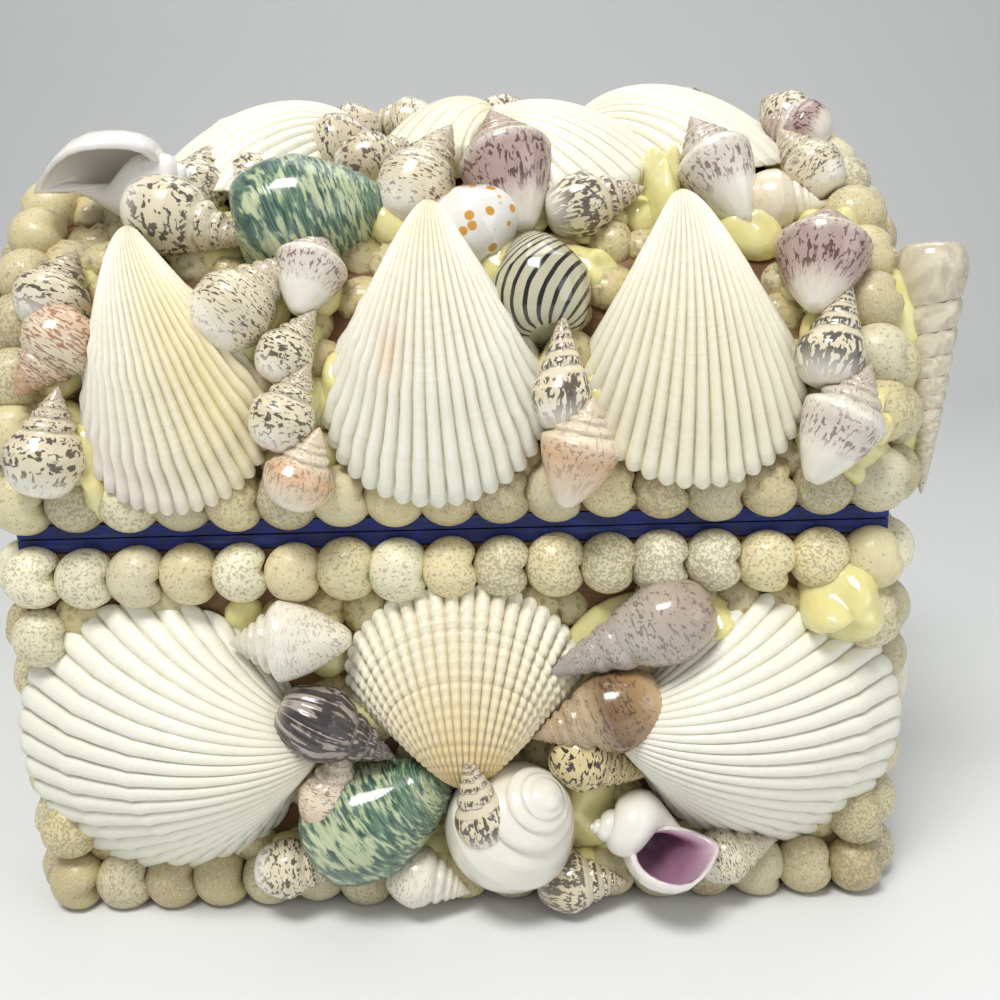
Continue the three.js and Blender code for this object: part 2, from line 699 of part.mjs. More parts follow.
const CLUSTERS = [
  {
    name: "lid_left_column_cluster",
    face: ON_LID,
    bed: { line: [[-75, 53], [-75, 16]], thickness: 5.5 },
    shells: [
      { at: [-76, 48.5], length: 16, width: 12.5, turn: -16, lift: 2 },
      { at: [-76, 35], length: 18, width: 12.5, turn: 141, lift: 3 },
      { at: [-76, 20], length: 19, width: 12.5, turn: -14, lift: 4 },
    ],
  },
  {
    name: "lid_left_gap_cluster",
    face: ON_LID,
    bed: { line: [[-29, 50], [-28.5, 12]], thickness: 7 },
    shells: [
      { at: [-38, 45], length: 22, width: 14, turn: -44, lift: 3 },
      { at: [-26, 50], length: 17, width: 12, turn: -12, lift: 3 },
      { at: [-29, 36], length: 14.5, width: 9, turn: -33, lift: 3.5 },
      { at: [-29.5, 25], length: 16, width: 10, turn: -27, lift: 4.5 },
      { at: [-27, 14.5], length: 14.5, width: 11.5, turn: -25, lift: 5 },
    ],
  },
  {
    name: "lid_right_gap_cluster",
    face: ON_LID,
    bed: { line: [[23, 36], [23.5, 12]], thickness: 8 },
    shells: [
      { at: [22.8, 30], length: 21, width: 9.5, turn: -2, lift: 4.5 },
      { at: [25.5, 16], length: 19, width: 13, turn: -16, lift: 6 },
    ],
  },
  {
    name: "lid_right_column_cluster",
    face: ON_LID,
    bed: { line: [[75, 54], [76, 14]], thickness: 6.5 },
    shells: [
      { at: [74.5, 50], length: 22, width: 16, turn: -14, lift: 2 },
      { at: [75.5, 35.5], length: 20, width: 11, turn: -18, lift: 3.5 },
      { at: [75, 19.5], length: 22, width: 13.5, turn: -27, lift: 5 },
    ],
  },
  {
    name: "lid_band_left_cluster",
    face: ON_LID,
    bed: { line: [[-52, 63], [-50, 80], [-14, 85]], thickness: 3.4 },
    shells: [
      { at: [-51.5, 62], length: 24, width: 12.5, turn: -109, lift: 2.5 },
      { at: [-53, 80], length: 16, width: 10, turn: -12 },
      { at: [-39, 82.5], length: 18, width: 10, turn: -64 },
      { at: [-28, 91], length: 20, width: 12, turn: 96, lift: 3 },
      { at: [-14, 87], length: 19, width: 10, turn: -72, lift: 2 },
    ],
  },
  {
    name: "lid_band_middle_cluster",
    face: ON_LID,
    bed: { line: [[-4, 72], [7, 66], [31, 67]] },
    shells: [
      { at: [-4, 74], length: 24, width: 14, turn: -28, lift: 2 },
      { at: [6, 64], length: 19, width: 12, turn: -149 },
      { at: [13.5, 72], length: 26, width: 17, turn: 15, lift: 3 },
      { at: [31.5, 66], length: 18, width: 11, turn: -77, lift: 2 },
    ],
  },
  {
    name: "lid_band_right_cluster",
    face: ON_LID,
    bed: { line: [[57, 69], [71, 68], [76, 90]], thickness: 4.5 },
    shells: [
      { at: [56.5, 71], length: 24, width: 13.5, turn: 22, lift: 3 },
      { at: [70, 66], length: 14.5, width: 11, turn: -93 },
      { at: [76, 76], length: 16.5, width: 10.5, turn: 31, lift: 2 },
      { at: [77, 90], length: 14, width: 12, turn: 60, lift: 3.5 },
    ],
  },
  {
    name: "base_left_cluster",
    face: ON_FRONT,
    bed: { line: [[-28, 62], [-25.5, 30]], thickness: 7.5 },
    shells: [
      { at: [-33, 62.5], length: 22, width: 14, turn: 91, lift: 2 },
      { at: [-24, 43.5], length: 23, width: 13, turn: -119, lift: 5 },
      { at: [-26, 31.5], length: 18, width: 11, turn: -20, lift: 5 },
    ],
  },
  {
    name: "base_right_cluster",
    face: ON_FRONT,
    bed: { line: [[33, 61], [28, 32]], thickness: 5.5 },
    shells: [
      { at: [35, 61], length: 33, width: 14.5, turn: 114, lift: 2 },
      { at: [28.5, 45], length: 25, width: 15, turn: 109, lift: 3.5 },
      { at: [29, 34], length: 18, width: 12, turn: -110, lift: 3 },
    ],
  },
  {
    name: "back_lid_cluster",
    face: ON_BACK_LID,
    bed: { line: [[-64, 74], [64, 74]] },
    shells: [-62, -31, 0, 31, 62].map((x, i) => (
      { at: [x, 75], length: 20, width: 12, turn: 70 - 45 * i }
    )),
  },
  {
    name: "back_base_cluster",
    face: ON_BACK,
    bed: { line: [[-26, 15], [26, 15]] },
    shells: [[-26, 20], [-9, 15.8], [10, 15.8], [27, 20]].map((at, i) => (
      { at, length: 18, width: 11, turn: 80 + 160 * i, lift: 1 }
    )),
  },
  ...[["right", ON_RIGHT, 1], ["left", ON_LEFT, -1]].map(([side, face, sign]) => ({
    name: `end_${side}_lid_cluster`,
    face,
    bed: { line: [[-39 * sign, 104], [-31 * sign, 123]] },
    shells: [
      { at: [-30 * sign, 124], length: 16, width: 11, turn: 40 * sign },
      { at: [-38 * sign, 106], length: 17, width: 11, turn: 10 * sign },
    ],
  })),
  ...[["right", ON_RIGHT, 1], ["left", ON_LEFT, -1]].map(([side, face, sign]) => ({
    name: `end_${side}_back_cluster`,
    face,
    bed: { line: [[38 * sign, 104], [30 * sign, 123]] },
    shells: [
      { at: [30 * sign, 123], length: 16, width: 11, turn: -50 * sign },
      { at: [38 * sign, 105], length: 16, width: 11, turn: 160 * sign },
    ],
  })),
];

// A strip of glue that follows a line of places on one face.
const BED = { halfWidth: 2.4, thickness: 2.6, step: 9 };

function glueBed(face, { line, thickness = BED.thickness }) {
  const strips = [];
  for (let i = 0; i + 1 < line.length; i += 1) {
    const from = new THREE.Vector2(...line[i]);
    const along = new THREE.Vector2(...line[i + 1]).sub(from);
    const side = new THREE.Vector2(-along.y, along.x).normalize();
    const steps = face.curved ? Math.max(1, Math.round(Math.abs(along.y) / BED.step)) : 1;
    const sections = Array.from({ length: steps + 1 }, (_, k) => {
      const middle = from.clone().addScaledVector(along, k / steps);
      return [[-1, 0], [-0.7, 1], [0.7, 1], [1, 0]].map(([across, up]) => {
        const spot = middle.clone().addScaledVector(side, across * BED.halfWidth);
        return new THREE.Vector3(0, 0, GAP + up * thickness).applyMatrix4(face.frame(spot.x, spot.y));
      });
    });
    strips.push(loft(sections));
  }
  return united(strips);
}

function clusterOf({ face, bed, shells }) {
  const bodies = shells.map(({ at, length, width, turn, lift = 0 }) => (
    laid(snail({ length, width, profile: "nassa" }), { at: face.frame(...at), turn, lift })
  ));
  return united([glueBed(face, bed), ...bodies]);
}

// ---------------------------------------------------------------- the casket

const COLOURS = {
  card: { color: 0x8a6444, roughness: 0.9 },
  lining: { color: 0x1b2c78, roughness: 0.75 },
  bead: { color: 0xd9cdaf, roughness: 0.35 },
  valve: { color: 0xf1ecdc, roughness: 0.45 },
  turban: { color: 0x5f8f6d, roughness: 0.3 },
  snail: { color: 0xd8c9b4, roughness: 0.35 },
  stripes: { color: 0xb9b6ab, roughness: 0.25 },
  cluster: { color: 0xc9b193, roughness: 0.4 },
};

const casket = new THREE.Group();

function addPiece(name, solid, colour) {
  const mesh = solid.getMesh();
  const geometry = new THREE.BufferGeometry();
  geometry.setAttribute("position", new THREE.BufferAttribute(new Float32Array(mesh.vertProperties), 3));
  geometry.setIndex(new THREE.BufferAttribute(new Uint32Array(mesh.triVerts), 1));
  geometry.computeVertexNormals();
  const piece = new THREE.Mesh(geometry, new THREE.MeshStandardMaterial({ metalness: 0, ...COLOURS[colour] }));
  piece.name = name;
  casket.add(piece);
}

addPiece("base_box", baseBox(), "card");
addPiece("base_lining", baseLining(), "lining");
addPiece("lid_shell", lidShell(), "card");
addPiece("lid_lining", lidLining(), "lining");

// Each piece is cut back from the cutters of the pieces before it.
const cutters = [];

for (const spot of VALVES) {
  addPiece(spot.name, mainBody(less(laid(valve(spot.shape), spot), cutters)), "valve");
  cutters.push(laid(valveCutter(spot.shape), spot));
}

for (const spot of SNAILS) {
  const solids = spot.bed ? [spot.solid, spot.bed] : [spot.solid];
  addPiece(spot.name, mainBody(less(laid(united(solids), spot), cutters)), spot.colour ?? "snail");
  cutters.push(...solids.map((solid) => laid(grown(solid, CUT_ROOM), spot)));
}

const ROWS = [
  { name: "base_top_beads", build: (room) => beadRing(BASE_TOP_ROW_Z, room) },
  { name: "base_bottom_beads", build: (room) => beadRing(BASE_BOTTOM_ROW_Z, room) },
  { name: "lid_bottom_beads", build: (room) => beadRing(LID_ROW_Z, room) },
  { name: "corner_beads_front_right", build: (room) => cornerBeads(true, room) },
  { name: "corner_beads_front_left", build: (room) => cornerBeads(true, room).mirror([1, 0, 0]) },
  { name: "corner_beads_back_right", build: (room) => cornerBeads(false, room).mirror([0, 1, 0]) },
  { name: "corner_beads_back_left", build: (room) => cornerBeads(false, room).rotate([0, 0, 180]) },
  { name: "arch_beads_right", build: (room) => archBeads(room) },
  { name: "arch_beads_left", build: (room) => archBeads(room).mirror([1, 0, 0]) },
];

const rowCutters = [];
for (const { name, build } of ROWS) {
  addPiece(name, mainBody(less(build(0), [...cutters, ...rowCutters])), "bead");
  rowCutters.push(build(GAP));
}
cutters.push(...rowCutters);

for (const cluster of CLUSTERS) {
  addPiece(cluster.name, mainBody(less(clusterOf(cluster), cutters)), "cluster");
}

export default casket;
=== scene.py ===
"""The looks of a domed souvenir casket covered with sea shells.

Shapes are made in millimetres, in the part's own frame, and become metres in add_piece().
"""

import math

import bpy
import numpy as np
from mathutils import Matrix, Vector


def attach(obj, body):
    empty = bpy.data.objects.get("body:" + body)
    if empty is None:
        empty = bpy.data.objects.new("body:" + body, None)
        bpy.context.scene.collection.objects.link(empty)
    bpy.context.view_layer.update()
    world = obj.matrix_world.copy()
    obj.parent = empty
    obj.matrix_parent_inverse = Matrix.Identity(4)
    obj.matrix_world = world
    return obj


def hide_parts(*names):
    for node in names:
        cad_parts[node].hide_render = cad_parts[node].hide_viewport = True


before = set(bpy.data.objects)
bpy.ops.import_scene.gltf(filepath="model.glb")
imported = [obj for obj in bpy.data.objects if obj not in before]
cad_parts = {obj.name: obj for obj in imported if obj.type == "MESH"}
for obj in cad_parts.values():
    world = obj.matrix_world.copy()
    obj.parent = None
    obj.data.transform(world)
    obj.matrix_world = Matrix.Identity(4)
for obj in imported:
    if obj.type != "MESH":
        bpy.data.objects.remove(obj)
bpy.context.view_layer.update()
METRES = 0.001
RANDOM = np.random.default_rng(7)

# ---------------------------------------------------------------- the casket's dimensions

HALF_LENGTH = 88
HALF_DEPTH = 63.5
DOME_Z = 92
DOME_RIM_LENGTH = 8.7
GAP = 0.3
SUNK = 1.5

BEAD_PITCH = 10.6
LONG_ROW = 17
SHORT_ROW = 12
SHORT_PITCH = 2 * HALF_DEPTH / SHORT_ROW
BASE_TOP_ROW_Z = 75.5
BASE_BOTTOM_ROW_Z = 5.7
LID_ROW_Z = 91

# ---------------------------------------------------------------- camera, light and floor


def make_camera():
    """The photograph's view: low, close and a little to the right of the middle."""
    pitch, yaw, roll = math.radians(14.6), math.radians(-0.8), math.radians(-1.7)
    forward = Vector((math.sin(yaw) * math.cos(pitch), math.cos(yaw) * math.cos(pitch), -math.sin(pitch)))
    level = Vector((math.cos(yaw), -math.sin(yaw), 0))
    upright = level.cross(forward)
    right = math.cos(roll) * level + math.sin(roll) * upright
    up = math.cos(roll) * upright - math.sin(roll) * level
    camera = bpy.data.objects.new("camera", bpy.data.cameras.new("camera"))
    bpy.context.scene.collection.objects.link(camera)
    turn = Matrix((right, up, -forward)).transposed()
    camera.matrix_world = Matrix.Translation((0.013, -0.267, 0.142)) @ turn.to_4x4()
    camera.data.lens = 37.8
    camera.data.sensor_width = 36
    camera.data.clip_start = 0.01
    bpy.context.scene.camera = camera


def make_light(name, place, target, size, power, colour=(1, 1, 1)):
    data = bpy.data.lights.new(name, "AREA")
    data.shape = "RECTANGLE"
    data.size, data.size_y = size
    data.energy = power
    data.color = colour
    lamp = bpy.data.objects.new(name, data)
    lamp.location = place
    lamp.rotation_euler = (Vector(target) - Vector(place)).to_track_quat("-Z", "Y").to_euler()
    bpy.context.scene.collection.objects.link(lamp)


def make_studio():
    world = bpy.data.worlds.new("studio")
    world.use_nodes = True
    background = world.node_tree.nodes["Background"]
    background.inputs["Color"].default_value = (0.86, 0.87, 0.9, 1)
    background.inputs["Strength"].default_value = 0.42
    bpy.context.scene.world = world
    bpy.context.scene.view_settings.view_transform = "Standard"
    make_light("key", (-0.2, -0.5, 1.05), (0, 0, 0.09), (0.4, 0.3), 9.5, (1, 0.985, 0.95))
    make_light("fill", (0.8, -0.55, 0.4), (0, 0, 0.09), (0.6, 0.6), 1.6, (0.95, 0.97, 1))
    make_light("top", (0.1, 0.35, 1.0), (0, 0, 0.1), (0.8, 0.5), 2.5)


def make_floor():
    """A pale sheet that runs back and rises in a soft curve; its colour darkens towards the back, which is painted
    shade.
    """
    profile = [(-2.2, 0.0), (0.55, 0.0)]
    bend = 0.35
    for i in range(1, 13):
        angle = math.radians(90 * i / 12)
        profile.append((0.55 + bend * math.sin(angle), bend - bend * math.cos(angle)))
    profile.append((0.9, 2.4))
    points = [(x, y, z) for y, z in profile for x in (-3.0, 3.0)]
    faces = [(2 * i, 2 * i + 1, 2 * i + 3, 2 * i + 2) for i in range(len(profile) - 1)]
    mesh = bpy.data.meshes.new("floor")
    mesh.from_pydata(points, [], faces)
    mesh.shade_smooth()
    floor = bpy.data.objects.new("floor", mesh)
    bpy.context.scene.collection.objects.link(floor)
    paint = Paint("floor_paper", roughness=0.8)
    # Painted shade: the paper's colour is darker further back, as if less light reached it.
    distance = paint.step(paint.part(paint.place, "Y"), -0.15, 0.08)
    paper_with_painted_shade = paint.mix(distance, (0.82, 0.84, 0.85), (0.62, 0.635, 0.63))
    paint.colour(paint.mix(paint.step(paint.noise(3, 2), 0.3, 0.7, 0, 0.1), paper_with_painted_shade, (0.7, 0.7, 0.71)))
    mesh.materials.append(paint.material)


# ---------------------------------------------------------------- materials


class Paint:
    """A node material with a Principled shader and short calls for the nodes used here."""

    def __init__(self, name, roughness, coat=0.0, subsurface=0.0):
        self.material = bpy.data.materials.new(name)
        self.material.use_nodes = True
        self.tree = self.material.node_tree
        self.shader = self.tree.nodes["Principled BSDF"]
        self.shader.inputs["Roughness"].default_value = roughness
        self.shader.inputs["Coat Weight"].default_value = coat
        self.shader.inputs["Coat Roughness"].default_value = 0.08
        if subsurface:
            self.shader.inputs["Subsurface Weight"].default_value = subsurface
            self.shader.inputs["Subsurface Scale"].default_value = 0.0015
            self.shader.inputs["Subsurface Radius"].default_value = (1.0, 0.7, 0.45)
        self.place = self.tree.nodes.new("ShaderNodeTexCoord").outputs["Object"]

    def put(self, socket, value):
        if isinstance(value, tuple):
            socket.default_value = (*value, 1) if len(value) == 3 and socket.type == "RGBA" else value
        elif isinstance(value, (int, float)):
            socket.default_value = value
        else:
            self.tree.links.new(value, socket)

    def attribute(self, name, output="Color"):
        node = self.tree.nodes.new("ShaderNodeAttribute")
        node.attribute_name = name
        return node.outputs[output]

    def scaled(self, vector, scale):
        node = self.tree.nodes.new("ShaderNodeVectorMath")
        node.operation = "MULTIPLY"
        self.put(node.inputs[0], vector)
        node.inputs[1].default_value = scale
        return node.outputs["Vector"]

    def noise(self, scale, detail, vector=None, distortion=0.0):
        node = self.tree.nodes.new("ShaderNodeTexNoise")
        self.put(node.inputs["Vector"], vector if vector is not None else self.place)
        node.inputs["Scale"].default_value = scale
        node.inputs["Detail"].default_value = detail
        node.inputs["Distortion"].default_value = distortion
        return node.outputs["Fac"]

    def spots(self, scale, vector=None):
        node = self.tree.nodes.new("ShaderNodeTexVoronoi")
        self.put(node.inputs["Vector"], vector if vector is not None else self.place)
        node.inputs["Scale"].default_value = scale
        return node.outputs["Distance"]

    def wave(self, scale, distortion, vector, axis="X"):
        node = self.tree.nodes.new("ShaderNodeTexWave")
        node.bands_direction = axis
        self.put(node.inputs["Vector"], vector)
        node.inputs["Scale"].default_value = scale
        node.inputs["Distortion"].default_value = distortion
        node.inputs["Detail"].default_value = 2
        return node.outputs["Fac"]

    def step(self, value, low, high, to_low=0.0, to_high=1.0):
        """value from low to high becomes to_low to to_high, clamped."""
        node = self.tree.nodes.new("ShaderNodeMapRange")
        self.put(node.inputs["Value"], value)
        for name, number in (("From Min", low), ("From Max", high), ("To Min", to_low), ("To Max", to_high)):
            node.inputs[name].default_value = number
        return node.outputs["Result"]

    def maths(self, operation, a, b=0.0):
        node = self.tree.nodes.new("ShaderNodeMath")
        node.operation = operation
        self.put(node.inputs[0], a)
        self.put(node.inputs[1], b)
        return node.outputs["Value"]

    def part(self, vector, axis):
        node = self.tree.nodes.new("ShaderNodeSeparateXYZ")
        self.put(node.inputs["Vector"], vector)
        return node.outputs[axis]

    def mix(self, factor, a, b, blend="MIX"):
        node = self.tree.nodes.new("ShaderNodeMix")
        node.data_type = "RGBA"
        node.blend_type = blend
        self.put(node.inputs["Factor"], factor)
        self.put(node.inputs[6], a)
        self.put(node.inputs[7], b)
        return node.outputs[2]

    def colour(self, value):
        self.put(self.shader.inputs["Base Color"], value)

    def rough(self, value):
        self.put(self.shader.inputs["Roughness"], value)

    def bump(self, height, distance, strength=0.5):
        node = self.tree.nodes.new("ShaderNodeBump")
        node.inputs["Strength"].default_value = strength
        node.inputs["Distance"].default_value = distance
        self.put(node.inputs["Height"], height)
        self.tree.links.new(node.outputs["Normal"], self.shader.inputs["Normal"])


def valve_paint():
    """White ribbed shell: its tone is on the mesh, its grooves carry painted shade, its growth lines are fine."""
    paint = Paint("valve_shell", roughness=0.42, coat=0.15)
    skin = paint.attribute("skin", "Vector")
    groove = paint.attribute("groove", "Fac")
    rings = paint.noise(1.0, 3, paint.scaled(skin, (2.5, 90, 1)))
    veil = paint.noise(260, 4)
    tone = paint.mix(paint.step(veil, 0.4, 0.75, 0, 0.3), paint.attribute("tone"), (0.83, 0.79, 0.68))
    tone = paint.mix(paint.step(rings, 0.55, 0.8, 0, 0.28), tone, (0.72, 0.66, 0.52))
    # Painted shade: the grooves between the ribs are darkened, more in some places than in others.
    groove_shade = paint.maths("MULTIPLY", paint.step(groove, 0.5, 1.0), paint.step(veil, 0.25, 0.7, 0.45, 0.9))
    paint.colour(paint.mix(groove_shade, tone, paint.mix(1.0, tone, (0.5, 0.43, 0.31), "MULTIPLY")))
    paint.rough(paint.step(rings, 0.3, 0.8, 0.34, 0.55))
    paint.bump(paint.maths("ADD", rings, veil), 0.00025, 0.5)
    return paint.material


def bead_paint():
    """Cream button snail with fine brown speckles, more on some snails than on others."""
    paint = Paint("bead_shell", roughness=0.45, coat=0.2)
    skin = paint.attribute("skin", "Vector")
    tone = paint.attribute("tone")
    cloud = paint.noise(420, 3)
    grain = paint.noise(1500, 2, distortion=0.4)
    lines = paint.noise(1.0, 2, paint.scaled(skin, (10, 26, 1)))
    base = paint.mix(paint.step(cloud, 0.35, 0.7, 0, 0.3), tone, (0.5, 0.43, 0.26))
    base = paint.mix(paint.step(lines, 0.5, 0.7, 0, 0.45), base, (0.82, 0.79, 0.66))
    amount = paint.part(skin, "Z")
    speckle = paint.maths("GREATER_THAN", paint.maths("ADD", grain, paint.step(amount, 0, 1, -0.12, 0.06)), 0.55)
    paint.colour(paint.mix(paint.maths("MULTIPLY", speckle, 0.5), base, (0.24, 0.19, 0.11)))
    paint.rough(paint.step(cloud, 0.3, 0.7, 0.35, 0.55))
    paint.bump(paint.maths("ADD", cloud, lines), 0.0003, 0.35)
    return paint.material


def snail_paint(name, ink, streaks, density, bare=0.0, roughness=0.22, coat=0.6):
    """Glossy snail: ground colour from the mesh, ink in streaks along and across the whorls.

    The upper part of each whorl, up to bare, has no ink.
    """
    paint = Paint(name, roughness=roughness, coat=coat)
    skin = paint.attribute("skin", "Vector")
    tone = paint.attribute("tone")
    drawn = paint.noise(1.0, 2, paint.scaled(skin, streaks), 0.6)
    patch = paint.noise(1.0, 1, paint.scaled(skin, (4, 4, 1)))
    level = paint.maths("ADD", drawn, paint.step(patch, 0.3, 0.7, -0.05, 0.05))
    mark = paint.step(level, density, density + 0.04)
    amount = paint.attribute("tone", "Alpha")
    if bare:
        amount = paint.maths("MULTIPLY", amount, paint.step(paint.part(skin, "Y"), bare - 0.06, bare + 0.06))
    cloud = paint.noise(300, 3)
    base = paint.mix(paint.step(cloud, 0.45, 0.75, 0, 0.35), tone, paint.mix(0.3, tone, ink))
    paint.colour(paint.mix(paint.maths("MULTIPLY", mark, amount), base, ink))
    paint.rough(paint.step(cloud, 0.3, 0.75, roughness * 0.8, roughness * 1.4))
    paint.bump(paint.maths("ADD", drawn, cloud), 0.0002, 0.25)
    return paint.material


def spotted_paint():
    """White porcelain with round orange spots."""
    paint = Paint("spotted_snail", roughness=0.12, coat=0.8)
    spot = paint.spots(330)
    cloud = paint.noise(300, 2)
    base = paint.mix(cloud, (0.86, 0.84, 0.8), (0.76, 0.74, 0.68))
    paint.colour(paint.mix(paint.step(spot, 0.3, 0.36, 1, 0), base, (0.62, 0.32, 0.05)))
    paint.rough(paint.step(cloud, 0.3, 0.7, 0.08, 0.18))
    paint.bump(cloud, 0.0002, 0.2)
    return paint.material


def turban_paint():
    """Dark green with blocks of yellow-green in oblique rows, and thin growth lines, under a gloss."""
    paint = Paint("turban_shell", roughness=0.16, coat=0.7)
    skin = paint.attribute("skin", "Vector")
    blocks = paint.noise(1.0, 2, paint.scaled(skin, (20, 13, 1)), 0.4)
    bands = paint.noise(1.0, 2, paint.scaled(skin, (5, 1.6, 1)), 0.4)
    lines = paint.noise(1.0, 2, paint.scaled(skin, (4, 50, 1)))
    green = paint.mix(paint.step(blocks, 0.35, 0.6), (0.03, 0.075, 0.06), (0.13, 0.25, 0.15))
    pale = paint.mix(blocks, (0.36, 0.45, 0.24), (0.62, 0.66, 0.42))
    base = paint.mix(paint.step(paint.maths("ADD", blocks, bands), 0.96, 1.1), green, pale)
    base = paint.mix(paint.step(lines, 0.5, 0.72, 0, 0.55), base, (0.24, 0.33, 0.26))
    paint.colour(base)
    paint.rough(paint.step(bands, 0.3, 0.7, 0.1, 0.28))
    paint.bump(paint.maths("ADD", lines, blocks), 0.0004, 0.4)
    return paint.material


def nerite_paint():
    """Pale glossy shell with long black stripes that run obliquely and fork."""
    paint = Paint("nerite_shell", roughness=0.1, coat=0.8)
    skin = paint.attribute("skin", "Vector")
    line = paint.wave(1.0, 1.2, paint.scaled(skin, (8.5, 2.0, 1)), "DIAGONAL")
    cloud = paint.noise(180, 3)
    base = paint.mix(cloud, (0.6, 0.57, 0.38), (0.42, 0.4, 0.3))
    paint.colour(paint.mix(paint.step(line, 0.72, 0.8), base, (0.012, 0.011, 0.01)))
    paint.rough(paint.step(cloud, 0.3, 0.7, 0.06, 0.18))
    paint.bump(cloud, 0.0002, 0.2)
    return paint.material


def auger_paint():
    """Cream to grey-beige whorls with pale axial flames and a fine dark line at each seam."""
    paint = Paint("auger_shell", roughness=0.2, coat=0.6)
    skin = paint.attribute("skin", "Vector")
    flames = paint.noise(1.0, 3, paint.scaled(skin, (7, 1.2, 1)), 0.8)
    seam = paint.step(paint.part(skin, "Y"), 0.03, 0.09)
    base = paint.mix(paint.step(flames, 0.4, 0.65), (0.72, 0.66, 0.5), (0.46, 0.39, 0.28))
    base = paint.mix(paint.step(flames, 0.6, 0.7, 0, 0.7), base, (0.86, 0.83, 0.74))
    paint.colour(paint.mix(seam, (0.12, 0.08, 0.05), base))
    paint.rough(paint.step(flames, 0.3, 0.7, 0.14, 0.3))
    paint.bump(flames, 0.0004, 0.4)
    return paint.material


def chip_paint():
    """Broken shell, grit and clouded glue that fill the room between the shells."""
    paint = Paint("shell_chips", roughness=0.35, coat=0.3)
    grit = paint.noise(700, 4)
    cloud = paint.noise(90, 3)
    base = paint.mix(paint.step(cloud, 0.35, 0.65), paint.attribute("tone"), (0.6, 0.5, 0.24))
    paint.colour(paint.mix(paint.step(grit, 0.52, 0.62, 0, 0.6), base, (0.25, 0.17, 0.08)))
    paint.rough(paint.step(cloud, 0.4, 0.7, 0.5, 0.18))
    paint.bump(paint.maths("ADD", grit, cloud), 0.0008, 0.6)
    return paint.material


def glue_paint():
    """Yellowed clear glue."""
    paint = Paint("yellow_glue", roughness=0.12, coat=0.5, subsurface=0.4)
    cloud = paint.noise(140, 3)
    paint.colour(paint.mix(cloud, (0.74, 0.66, 0.2), (0.84, 0.8, 0.48)))
    paint.bump(paint.noise(350, 2), 0.0006, 0.4)
    return paint.material


def lining_paint():
    """Deep blue lining, worn and mottled with paler streaks."""
    paint = Paint("blue_lining", roughness=0.6)
    streak = paint.noise(1.0, 5, paint.scaled(paint.place, (60, 200, 900)), 0.5)
    mottle = paint.noise(500, 3)
    base = paint.mix(paint.step(mottle, 0.3, 0.7), (0.003, 0.007, 0.06), (0.014, 0.03, 0.24))
    paint.colour(paint.mix(paint.step(streak, 0.56, 0.8, 0, 0.5), base, (0.1, 0.16, 0.4)))
    paint.rough(paint.step(mottle, 0.3, 0.7, 0.45, 0.7))
    paint.bump(paint.maths("ADD", mottle, streak), 0.0003, 0.5)
    return paint.material


def card_paint():
    """Brown card with short fibres and smears of dried glue."""
    paint = Paint("brown_card", roughness=0.75)
    fibre = paint.noise(1.0, 4, paint.scaled(paint.place, (300, 300, 1400)), 0.3)
    smear = paint.noise(60, 4)
    base = paint.mix(fibre, (0.1, 0.04, 0.012), (0.2, 0.095, 0.035))
    paint.colour(paint.mix(paint.step(smear, 0.48, 0.7, 0, 0.6), base, (0.42, 0.3, 0.11)))
    paint.rough(paint.step(smear, 0.4, 0.7, 0.8, 0.35))
    paint.bump(fibre, 0.0004, 0.5)
    return paint.material


# ---------------------------------------------------------------- places on the casket


def place(origin, right, up, out):
    """A frame on the card: x to the right and y up as seen from outside, z outwards."""
    return Matrix.Translation(origin) @ Matrix((right, up, out)).transposed().to_4x4()


def on_front(x, z):
    return place((x, -HALF_DEPTH, z), (1, 0, 0), (0, 0, 1), (0, -1, 0))


def on_right_end(y, z):
    return place((HALF_LENGTH, y, z), (0, 1, 0), (0, 0, 1), (1, 0, 0))


def on_lid(x, length):
    """length runs up the lid's front from its rim and over the dome."""
    angle = max(0, length - DOME_RIM_LENGTH) / HALF_DEPTH
    out = Vector((0, -math.cos(angle), math.sin(angle)))
    up = (0, math.sin(angle), math.cos(angle))
    foot = min(0, length - DOME_RIM_LENGTH)
    return place(Vector((x, 0, DOME_Z + foot)) + out * HALF_DEPTH, (1, 0, 0), up, out)


def opposite(spot):
    """The same place on the opposite side: the back for the front, the left end for the right."""
    return Matrix.Rotation(math.pi, 4, "Z") @ spot


def on_left_end(y, z):
    return opposite(on_right_end(y, z))


def on_back(x, z):
    return opposite(on_front(x, z))


def on_back_lid(x, length):
    return opposite(on_lid(x, length))


def laid(spot, turn=0.0, lift=0.0, slide=0.0, roll=0.0, tip=0.0):
    """A shell's frame: turned anticlockwise on its place, lifted, slid, rolled about its axis and tipped."""
    move = Matrix.Rotation(math.radians(turn), 4, "Z")
    move.translation = (0, slide, lift)
    lean = Matrix.Rotation(math.radians(tip), 4, "X") @ Matrix.Rotation(math.radians(roll), 4, "Y")
    return spot @ move @ lean


# ---------------------------------------------------------------- shapes


class Shape:
    """Points, faces, and what the materials read at each point: skin, tone and groove."""

    def __init__(self, points, faces, skin, groove=None):
        self.points = points
        self.faces = faces
        self.skin = skin
        self.groove = np.zeros(len(points)) if groove is None else groove

    def placed(self, matrix, scale=(1, 1, 1)):
        turned = (self.points * np.array(scale)) @ np.array(matrix.to_3x3()).T + np.array(matrix.translation)
        return Shape(turned, self.faces, self.skin, self.groove)


def ring_faces(rows, size, first=0):
    """Quads between neighbouring closed rings of points."""
    i, j = np.meshgrid(np.arange(rows - 1), np.arange(size), indexing="ij")
    a = first + i * size + j
    b = first + i * size + (j + 1) % size
    return np.stack([a, b, b + size, a + size], -1).reshape(-1, 4)


def cap(tip, ring, flip=False):
    """Triangles from one point to a closed ring."""
    following = np.roll(ring, -1)
    order = (following, ring) if flip else (ring, following)
    return np.stack([np.full(len(ring), tip), *order], -1)


def rib_profile(phase, sharp=0.55):
    """1 on a rounded rib, 0 in the groove beside it. A sharper rib is narrower."""
    return np.abs(np.cos(np.pi * phase)) ** sharp


